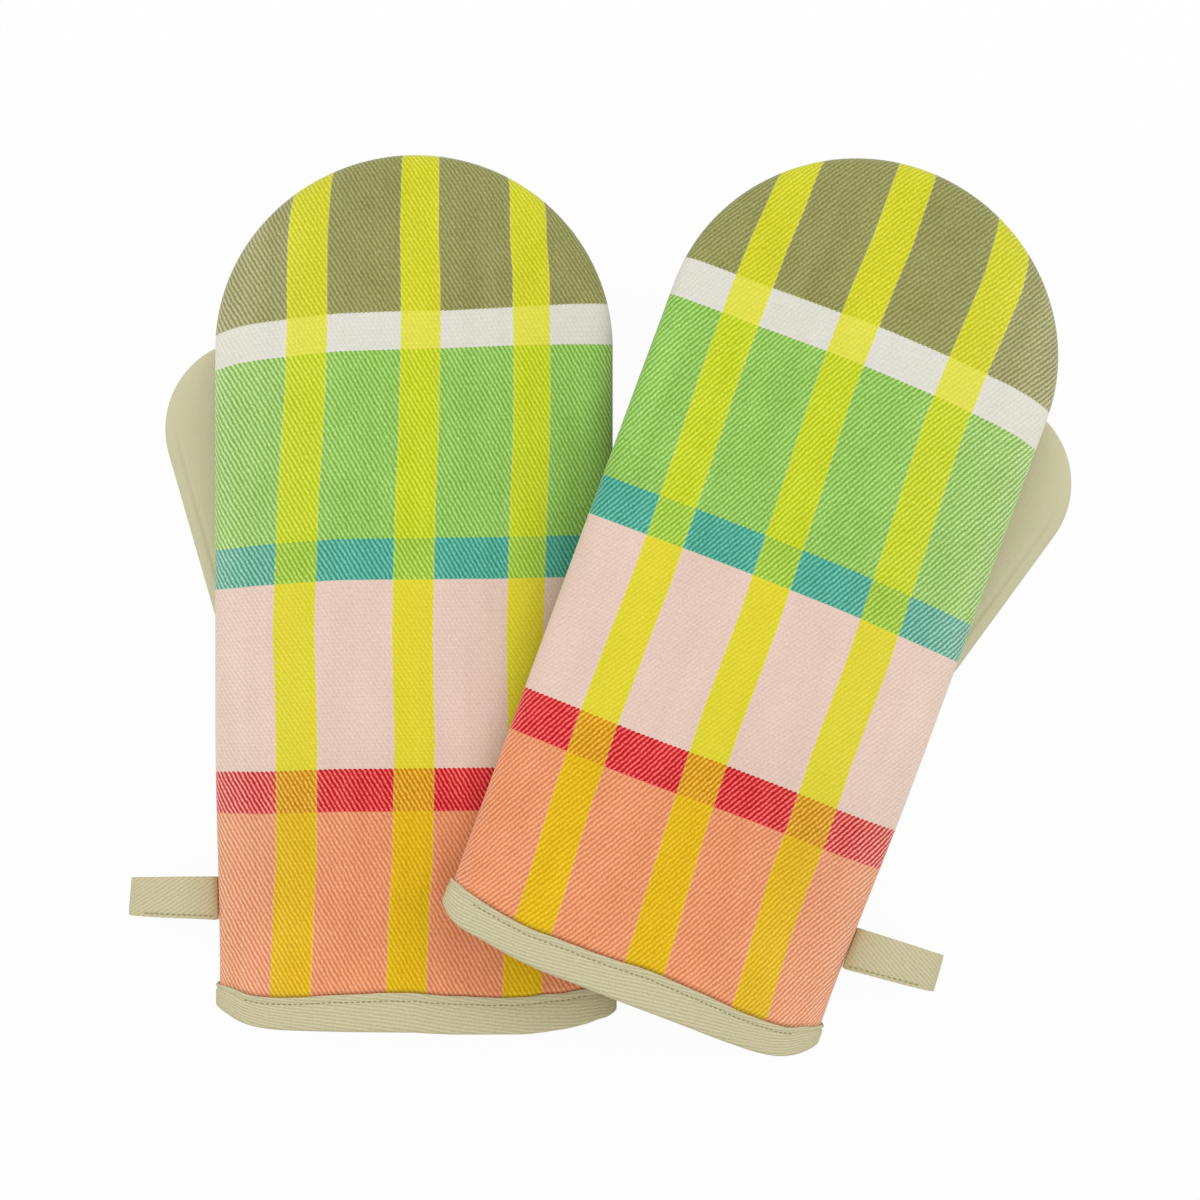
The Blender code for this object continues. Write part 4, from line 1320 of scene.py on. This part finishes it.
TWILL_VALUES = ("Diagonals across", "Diagonals along", "Yarns across", "Yarns along", "Unevenness")
# The twill: its wander per metre, the share of the crossing ribs, the flecks' stretch and reach, the
# streaks and clouds per metre and their reach, and the share of diagonals and flecks in its height
WANDER_SIZE, CROSSED, FLECK_STRETCH, FLECK_REACH = 300.0, 0.22, (0.9, 0.5), 5.5
STREAKS, CLOUDS, MOTTLE_REACH, RELIEF = (130.0, 14.0), (60.0, 45.0), 2.6, (0.30, 0.12)
BUMP_STRENGTH = 0.8


def twill_group():
    """Twill: diagonals of yarn floats, from a place on the cloth in metres."""
    tree = bpy.data.node_groups.new("Twill weave", "ShaderNodeTree")
    face = tree.interface
    face.new_socket("Place", in_out="INPUT", socket_type="NodeSocketVector")
    for name in TWILL_VALUES:
        face.new_socket(name, in_out="INPUT", socket_type="NodeSocketFloat")
    for name in ("Line", "Rib", "Flecks", "Mottle", "Height"):
        face.new_socket(name, in_out="OUTPUT", socket_type="NodeSocketFloat")
    nodes = Nodes(tree)
    start, end = nodes.add("NodeGroupInput"), nodes.add("NodeGroupOutput")
    place = nodes.add("ShaderNodeSeparateXYZ")
    nodes.feed(place.inputs[0], start.outputs["Place"])
    x, y = place.outputs["X"], place.outputs["Y"]
    yarn_x = nodes.math("MULTIPLY", x, start.outputs["Yarns across"])
    yarn_y = nodes.math("MULTIPLY", y, start.outputs["Yarns along"])
    wander = nodes.spread(nodes.noise(nodes.vector(x, y), WANDER_SIZE, 3.0), start.outputs["Unevenness"])
    phase = nodes.math("MULTIPLY", x, start.outputs["Diagonals across"])
    phase = nodes.math("MULTIPLY_ADD", y, start.outputs["Diagonals along"], phase)
    line = nodes.wave(nodes.math("ADD", phase, wander))
    twice = nodes.math("MULTIPLY", start.outputs["Diagonals along"], 2.0)
    rib = nodes.wave(nodes.math("MULTIPLY_ADD", y, twice, nodes.math("MULTIPLY", wander, 0.5)))
    crossed = nodes.math("MULTIPLY", nodes.math("MULTIPLY", line, rib), CROSSED)
    line = nodes.math("ADD", line, crossed)
    short = nodes.stretched(yarn_x, yarn_y, FLECK_STRETCH)
    flecks = nodes.spread(nodes.noise(short, 1.0, 2.0), FLECK_REACH)
    streaks, clouds = nodes.stretched(x, y, STREAKS), nodes.stretched(x, y, CLOUDS)
    mottle = nodes.math(
        "ADD", nodes.spread(nodes.noise(streaks, 1.0, 2.0), MOTTLE_REACH),
        nodes.spread(nodes.noise(clouds, 1.0, 3.0), MOTTLE_REACH),
    )
    relief = nodes.math("MULTIPLY_ADD", flecks, RELIEF[1], 0.5)
    height = nodes.math("MULTIPLY_ADD", line, RELIEF[0], relief)
    results = (("Line", line), ("Rib", rib), ("Flecks", flecks), ("Mottle", mottle), ("Height", height))
    for name, value in results:
        nodes.feed(end.inputs[name], value)
    return tree


def cloth_material(name, roughness, sheen):
    """A new cloth's nodes, its shader and its place on the cloth."""
    material = bpy.data.materials.new(name)
    material.use_nodes = True
    nodes = Nodes(material.node_tree)
    shader = material.node_tree.nodes["Principled BSDF"]
    for socket, value in (
        ("Roughness", roughness), ("Sheen Weight", sheen), ("Sheen Roughness", 0.45),
        ("Specular IOR Level", 0.2),
    ):
        shader.inputs[socket].default_value = value
    place = nodes.add("ShaderNodeUVMap", uv_map="cloth").outputs["UV"]
    return nodes, shader, place


def place_twill(nodes, group, place, *values):
    """The twill group at a place on the cloth, with its own values."""
    node = nodes.add("ShaderNodeGroup", node_tree=group)
    nodes.feed(node.inputs["Place"], place)
    for name, value in zip(TWILL_VALUES, values):
        node.inputs[name].default_value = value
    return node.outputs


def bump(nodes, shader, height, depth):
    """Raise the yarns by a depth in metres."""
    node = nodes.add("ShaderNodeBump")
    node.inputs["Strength"].default_value = BUMP_STRENGTH
    node.inputs["Distance"].default_value = depth
    nodes.feed(node.inputs["Height"], height)
    nodes.feed(shader.inputs["Normal"], node.outputs["Normal"])


def ramp(nodes, position, bands, kind="CONSTANT"):
    """Bands of colour along a length, hard at their edges unless they run together."""
    node = nodes.add("ShaderNodeValToRGB")
    node.color_ramp.interpolation = kind
    stops = node.color_ramp.elements
    while len(stops) < len(bands):
        stops.new(1.0)
    for stop, (start, colour) in zip(stops, bands):
        stop.position = start
        stop.color = (*colour, 1.0)
    nodes.feed(node.inputs["Fac"], position)
    return node.outputs["Color"]


# How far the yarns of a band stand off its mean colour, in display levels: diagonals, flecks and ribs
GRAINS = {
    "orange": (22, 8.5, 2), "red": (48, 14, 4), "pink": (3.6, 5.0, 2.2), "teal": (28, 9, 2),
    "green": (26, 10, 2), "cream": (2.8, 4.0, 1.6), "olive": (18, 9, 2),
}
STRIPE_GRAINS = {
    "orange": (17, 8, 2), "red": (31, 12, 3), "pink": (6, 4.5, 2), "teal": (26, 9, 2),
    "green": (20, 7, 2), "cream": (5, 4.5, 2), "olive": (16, 8, 2),
}
# Painted sheen: the back is mixed towards the pale yarn near its sides, where it curves away: across, and
# share of pale yarn
PAINTED_SIDE_SHEEN = (
    (-0.100, 0.22), (-0.0785, 0.20), (-0.0745, 0.17), (-0.071, 0.15), (-0.066, 0.12),
    (-0.058, 0.09), (-0.048, 0.06), (-0.034, 0.02), (-0.020, 0.0), (0.070, 0.0),
    (0.0745, 0.04), (0.0785, 0.10),
)
CLOTH_HALF = 0.100
DISPLAY_POWER = 2.2
# The check: the fringe's share of pale yarn, the step of a stripe's edge next to that of a band's, the change
# of the painted sheen on the stripes and in the light diagonals, and the mottle's share of the grain
FRINGE_SHARE, STEP_ACROSS = 0.07, 0.6
SHEEN_PAINT_ON_STRIPES, SHEEN_PAINT_IN_LIGHT, MOTTLE_SHARE = -0.75, 0.5, 0.8


def check_twill(cloth, group):
    """The check: coloured bands crossed by yellow stripes, in a twill of light and dark yarns, with a painted
    sheen paling it towards the sides.
    """
    nodes, shader, place = cloth_material("Check twill", 0.86, 0.30)
    twill = place_twill(
        nodes, group, place, 1 / cloth.diagonal_across, 1 / cloth.diagonal_along,
        1 / cloth.warp, 1 / cloth.weft, 0.7,
    )
    spot = nodes.add("ShaderNodeSeparateXYZ")
    nodes.feed(spot.inputs[0], place)
    step = nodes.math("MULTIPLY", twill["Line"], cloth.edge_step)
    along = nodes.math("ADD", spot.outputs["Y"], step)
    across = nodes.math("ADD", spot.outputs["X"], nodes.math("MULTIPLY", step, STEP_ACROSS))
    share = nodes.math("DIVIDE", along, CLOTH_LENGTH)
    offset = nodes.math("SUBTRACT", across, cloth.stripe_start)
    index = nodes.math("ROUND", nodes.math("DIVIDE", offset, cloth.stripe_pitch))
    index = nodes.math("MINIMUM", nodes.math("MAXIMUM", index, 0.0), 2.0)
    middle = nodes.math("MULTIPLY", index, cloth.stripe_pitch)
    distance = nodes.math("ABSOLUTE", nodes.math("SUBTRACT", offset, middle))
    half = nodes.math("MULTIPLY_ADD", index, -cloth.stripe_loss / 2, cloth.stripe / 2)
    inside = nodes.math("LESS_THAN", distance, half)
    edge = nodes.math("ABSOLUTE", nodes.math("SUBTRACT", distance, half))
    near = nodes.math("SUBTRACT", 1.0, nodes.math("DIVIDE", edge, cloth.fringe))
    fringe = nodes.math("MULTIPLY", nodes.math("MAXIMUM", near, 0.0), FRINGE_SHARE)
    lows = [low / CLOTH_LENGTH for _, low in BANDS]
    names = [name for name, _ in BANDS]
    plain = ramp(nodes, share, list(zip(lows, (getattr(cloth, name) for name in names))))
    crossed = ramp(
        nodes, share, list(zip(lows, (getattr(cloth, f"yellow_{name}") for name in names)))
    )
    pale = (*cloth.pale_yarn, 1.0)
    colour = nodes.mix(fringe, nodes.mix(inside, plain, crossed), pale)
    # Painted sheen: paler towards the sides of the back, less on the stripes and more in the light diagonals
    sheen_place = nodes.math("MULTIPLY_ADD", spot.outputs["X"], 0.5 / CLOTH_HALF, 0.5)
    sheen_stops = [(0.5 + 0.5 * x / CLOTH_HALF, (share,) * 3) for x, share in PAINTED_SIDE_SHEEN]
    sheen_share = nodes.math("MULTIPLY_ADD", twill["Line"], SHEEN_PAINT_IN_LIGHT, 1.0)
    sheen_share = nodes.math("MULTIPLY_ADD", inside, SHEEN_PAINT_ON_STRIPES, sheen_share)
    sheen_share = nodes.math("MAXIMUM", nodes.math("MULTIPLY", ramp(nodes, sheen_place, sheen_stops, "LINEAR"), sheen_share), 0.0)
    colour = nodes.mix(sheen_share, colour, pale)
    reaches = [
        ramp(nodes, share, [(low, [level / 255 for level in grains[name]]) for low, name in zip(lows, names)])
        for grains in (GRAINS, STRIPE_GRAINS)
    ]
    reach = nodes.add("ShaderNodeSeparateColor")
    nodes.feed(reach.inputs[0], nodes.mix(inside, *reaches))
    flecks = nodes.math("MULTIPLY_ADD", twill["Mottle"], MOTTLE_SHARE, twill["Flecks"])
    grain = nodes.math("MULTIPLY", twill["Line"], reach.outputs["Red"])
    grain = nodes.math("MULTIPLY_ADD", flecks, reach.outputs["Green"], grain)
    grain = nodes.math("MULTIPLY_ADD", twill["Rib"], reach.outputs["Blue"], grain)
    shown = nodes.add("ShaderNodeGamma")
    nodes.feed(shown.inputs["Color"], colour)
    shown.inputs["Gamma"].default_value = 1 / DISPLAY_POWER
    moved = nodes.add("ShaderNodeVectorMath", operation="ADD")
    nodes.feed(moved.inputs[0], shown.outputs["Color"])
    nodes.feed(moved.inputs[1], grain)
    kept = nodes.add("ShaderNodeVectorMath", operation="MAXIMUM")
    nodes.feed(kept.inputs[0], moved.outputs["Vector"])
    back = nodes.add("ShaderNodeGamma")
    nodes.feed(back.inputs["Color"], kept.outputs["Vector"])
    back.inputs["Gamma"].default_value = DISPLAY_POWER
    nodes.feed(shader.inputs["Base Color"], back.outputs["Color"])
    bump(nodes, shader, twill["Height"], cloth.twill_depth)


# Painted shade and painted reflection of the orange glove at the loop's root: how far it reaches, and its
# share along the way
ROOT_SHADE_REACH = 0.016
ROOT_SHADE_FADE = (
    (0.0, (0.50,) * 3), (0.07, (0.48,) * 3), (0.11, (0.38,) * 3), (0.18, (0.26,) * 3),
    (0.30, (0.18,) * 3), (0.50, (0.11,) * 3), (1.0, (0.0,) * 3),
)


def plain_twill(name, colour, group, across, along, yarns, contrast, depth, stain=None):
    """A plain cloth with fine diagonals in one colour, and painted shade at its root if a colour for it is
    given.
    """
    nodes, shader, place = cloth_material(name, 0.88, 0.05)
    twill = place_twill(nodes, group, place, across, along, yarns, yarns, 0.5)
    grain = nodes.math("MULTIPLY_ADD", twill["Flecks"], 0.5, twill["Line"])
    cover = nodes.scaled(colour, nodes.math("MULTIPLY_ADD", grain, contrast / 2, 1.0))
    # Painted shade at the loop's root, fading away from the glove
    if stain:
        run = nodes.add("ShaderNodeSeparateXYZ")
        nodes.feed(run.inputs[0], place)
        share = ramp(nodes, nodes.math("DIVIDE", run.outputs["X"], ROOT_SHADE_REACH), ROOT_SHADE_FADE, "LINEAR")
        cover = nodes.mix(share, cover, (*stain, 1.0))
    nodes.feed(shader.inputs["Base Color"], cover)
    bump(nodes, shader, twill["Height"], depth)


# The padding: its puffs per metre and their depth
FIBRE_SIZE, FIBRE_DEPTH = 900.0, 0.0006


def fibre(name, colour):
    """Loose fibre, soft and uneven."""
    nodes, shader, place = cloth_material(name, 0.95, 0.1)
    puffs = nodes.noise(place, FIBRE_SIZE, 4.0)
    shade = nodes.math("MULTIPLY_ADD", puffs, 0.2, 0.9)
    nodes.feed(shader.inputs["Base Color"], nodes.scaled(colour, shade))
    bump(nodes, shader, puffs, FIBRE_DEPTH)


# The plain cloths: name, dye, diagonals per metre across and along, yarns per metre, contrast, depth and
# colour of the painted shade at the root
PLAIN_CLOTHS = (
    ("Sage drill", "sage", 1100.0, 160.0, 2200.0, 0.07, 0.00008, None),
    ("Sage tape", "tape", 95.0, 661.0, 1500.0, 0.24, 0.00016, None),
    ("Sage loop tape", "tape", 380.0, 630.0, 1500.0, 0.20, 0.00014, "stain"),
    ("Lining", "lining", 900.0, 900.0, 1800.0, 0.05, 0.00005, None),
)


class GLOVE_OT_cloths(bpy.types.Operator):
    """Weave the cloths: check twill, drill, tape, lining, padding and thread"""

    bl_idname = "oven_glove.cloths"
    bl_label = "Cloths"

    def execute(self, context):
        cloth = context.scene.glove_cloth
        group = twill_group()
        check_twill(cloth, group)
        for name, colour, *weave, stain in PLAIN_CLOTHS:
            root_shade_colour = getattr(cloth, stain) if stain else None
            plain_twill(name, getattr(cloth, colour), group, *weave, root_shade_colour)
        fibre("Padding", cloth.padding)
        _, shader, _ = cloth_material("Stitch thread", 0.7, 0.0)
        shader.inputs["Base Color"].default_value = (*cloth.thread, 1.0)
        return {"FINISHED"}


# Level at which the frame's width is measured, size of the lights, and reach and level of the table
PICTURE_LEVEL, LAMP_SIZE, TABLE_REACH, TABLE_LEVEL = 0.013, 0.8, 2.0, -0.0002


class GLOVE_OT_stage(bpy.types.Operator):
    """Lay a pale table, hang soft lights and set the camera straight above"""

    bl_idname = "oven_glove.stage"
    bl_label = "Stage"

    def execute(self, context):
        scene, stage = context.scene, context.scene.glove_stage
        scene.view_settings.view_transform = "Standard"
        self.table(stage.table_white)
        self.sky(stage)
        centre = Vector((stage.camera_across, stage.camera_along, 0.0))
        for name, spot, power in (
            ("Right light", (1.0, 0.3, 0.9), stage.sides), ("Left light", (-1.0, 0.3, 0.9), stage.sides),
            ("Far light", (0.15, 1.15, 1.0), stage.far),
        ):
            self.lamp(name, centre + Vector(spot), LAMP_SIZE, power, centre)
        lens = bpy.data.cameras.new("Camera")
        camera = bpy.data.objects.new("Camera", lens)
        scene.collection.objects.link(camera)
        camera.location = centre + Vector((0.0, 0.0, stage.camera_height))
        lens.sensor_width = 36.0
        lens.lens = lens.sensor_width * (stage.camera_height - PICTURE_LEVEL) / stage.frame_width
        lens.clip_end = 10.0
        scene.camera = camera
        return {"FINISHED"}

    def table(self, white):
        """A pale table that the camera sees as white, with the gloves' soft shadow on it."""
        corners = ((-1, -1), (1, -1), (1, 1), (-1, 1))
        spots = [(x * TABLE_REACH, y * TABLE_REACH, TABLE_LEVEL) for x, y in corners]
        material = bpy.data.materials.new("Pale table")
        material.use_nodes = True
        nodes = Nodes(material.node_tree)
        shader = material.node_tree.nodes["Principled BSDF"]
        shader.inputs["Base Color"].default_value = (0.86, 0.86, 0.86, 1.0)
        shader.inputs["Roughness"].default_value = 0.9
        glow = nodes.add("ShaderNodeEmission")
        glow.inputs["Color"].default_value = (1.0, 1.0, 1.0, 1.0)
        path, blend = nodes.add("ShaderNodeLightPath"), nodes.add("ShaderNodeMixShader")
        seen = nodes.math("MULTIPLY", path.outputs["Is Camera Ray"], white)
        nodes.feed(blend.inputs[0], seen)
        nodes.feed(blend.inputs[1], shader.outputs[0])
        nodes.feed(blend.inputs[2], glow.outputs[0])
        nodes.feed(material.node_tree.nodes["Material Output"].inputs["Surface"], blend.outputs[0])
        mesh = bpy.data.meshes.new("Table")
        mesh.from_pydata(spots, [], [(0, 1, 2, 3)])
        mesh.materials.append(material)
        table = bpy.data.objects.new("Table", mesh)
        bpy.context.scene.collection.objects.link(table)

    def sky(self, stage):
        """Even light all round, which the camera sees as white."""
        world = bpy.data.worlds.new("Studio")
        world.use_nodes = True
        nodes = Nodes(world.node_tree)
        ground = world.node_tree.nodes["Background"]
        ground.inputs["Color"].default_value = (1.0, 1.0, 1.0, 1.0)
        path = nodes.add("ShaderNodeLightPath")
        seen = nodes.math("MAXIMUM", path.outputs["Is Camera Ray"], path.outputs["Is Transmission Ray"])
        strength = nodes.math("MULTIPLY_ADD", seen, 1.0 - stage.fill, stage.fill)
        nodes.feed(ground.inputs["Strength"], strength)
        bpy.context.scene.world = world

    def lamp(self, name, spot, size, power, aim):
        """A large square light, aimed at the gloves."""
        light = bpy.data.lights.new(name, "AREA")
        light.size = size
        light.energy = power
        thing = bpy.data.objects.new(name, light)
        thing.location = spot
        thing.rotation_euler = (aim - spot).to_track_quat("-Z", "Y").to_euler()
        bpy.context.scene.collection.objects.link(thing)


class GLOVE_PT_sidebar(bpy.types.Panel):
    """Sizes, colours and steps of the gloves"""

    bl_idname = "GLOVE_PT_sidebar"
    bl_label = "Oven gloves"
    bl_space_type = "VIEW_3D"
    bl_region_type = "UI"
    bl_category = "Oven gloves"

    def draw(self, context):
        for operator in OPERATORS:
            self.layout.operator(operator.bl_idname)
        for group in GROUPS:
            box = self.layout.box()
            for name in GROUPS[group].__annotations__:
                box.prop(getattr(context.scene, group), name)


GROUPS = {
    "glove_shape": GLOVE_PG_shape,
    "glove_trim": GLOVE_PG_trim,
    "glove_lay": GLOVE_PG_lay,
    "glove_cloth": GLOVE_PG_cloth,
    "glove_stage": GLOVE_PG_stage,
}
OPERATORS = (
    GLOVE_OT_cloths, GLOVE_OT_backs, GLOVE_OT_palms, GLOVE_OT_thumbs, GLOVE_OT_cuffs,
    GLOVE_OT_loops, GLOVE_OT_stitches, GLOVE_OT_stage,
)


def register():
    """Add the settings, the steps and the panel."""
    for name, group in GROUPS.items():
        bpy.utils.register_class(group)
        setattr(bpy.types.Scene, name, bpy.props.PointerProperty(type=group))
    for operator in OPERATORS:
        bpy.utils.register_class(operator)
    bpy.utils.register_class(GLOVE_PT_sidebar)


def unregister():
    """Take the panel, the steps and the settings away."""
    bpy.utils.unregister_class(GLOVE_PT_sidebar)
    for operator in reversed(OPERATORS):
        bpy.utils.unregister_class(operator)
    for name, group in GROUPS.items():
        delattr(bpy.types.Scene, name)
        bpy.utils.unregister_class(group)


def main():
    """Build everything."""
    register()
    bpy.ops.oven_glove.cloths()
    bpy.ops.oven_glove.backs()
    bpy.ops.oven_glove.palms()
    bpy.ops.oven_glove.thumbs()
    bpy.ops.oven_glove.cuffs()
    bpy.ops.oven_glove.loops()
    bpy.ops.oven_glove.stitches()
    bpy.ops.oven_glove.stage()


if __name__ == "__main__":
    main()
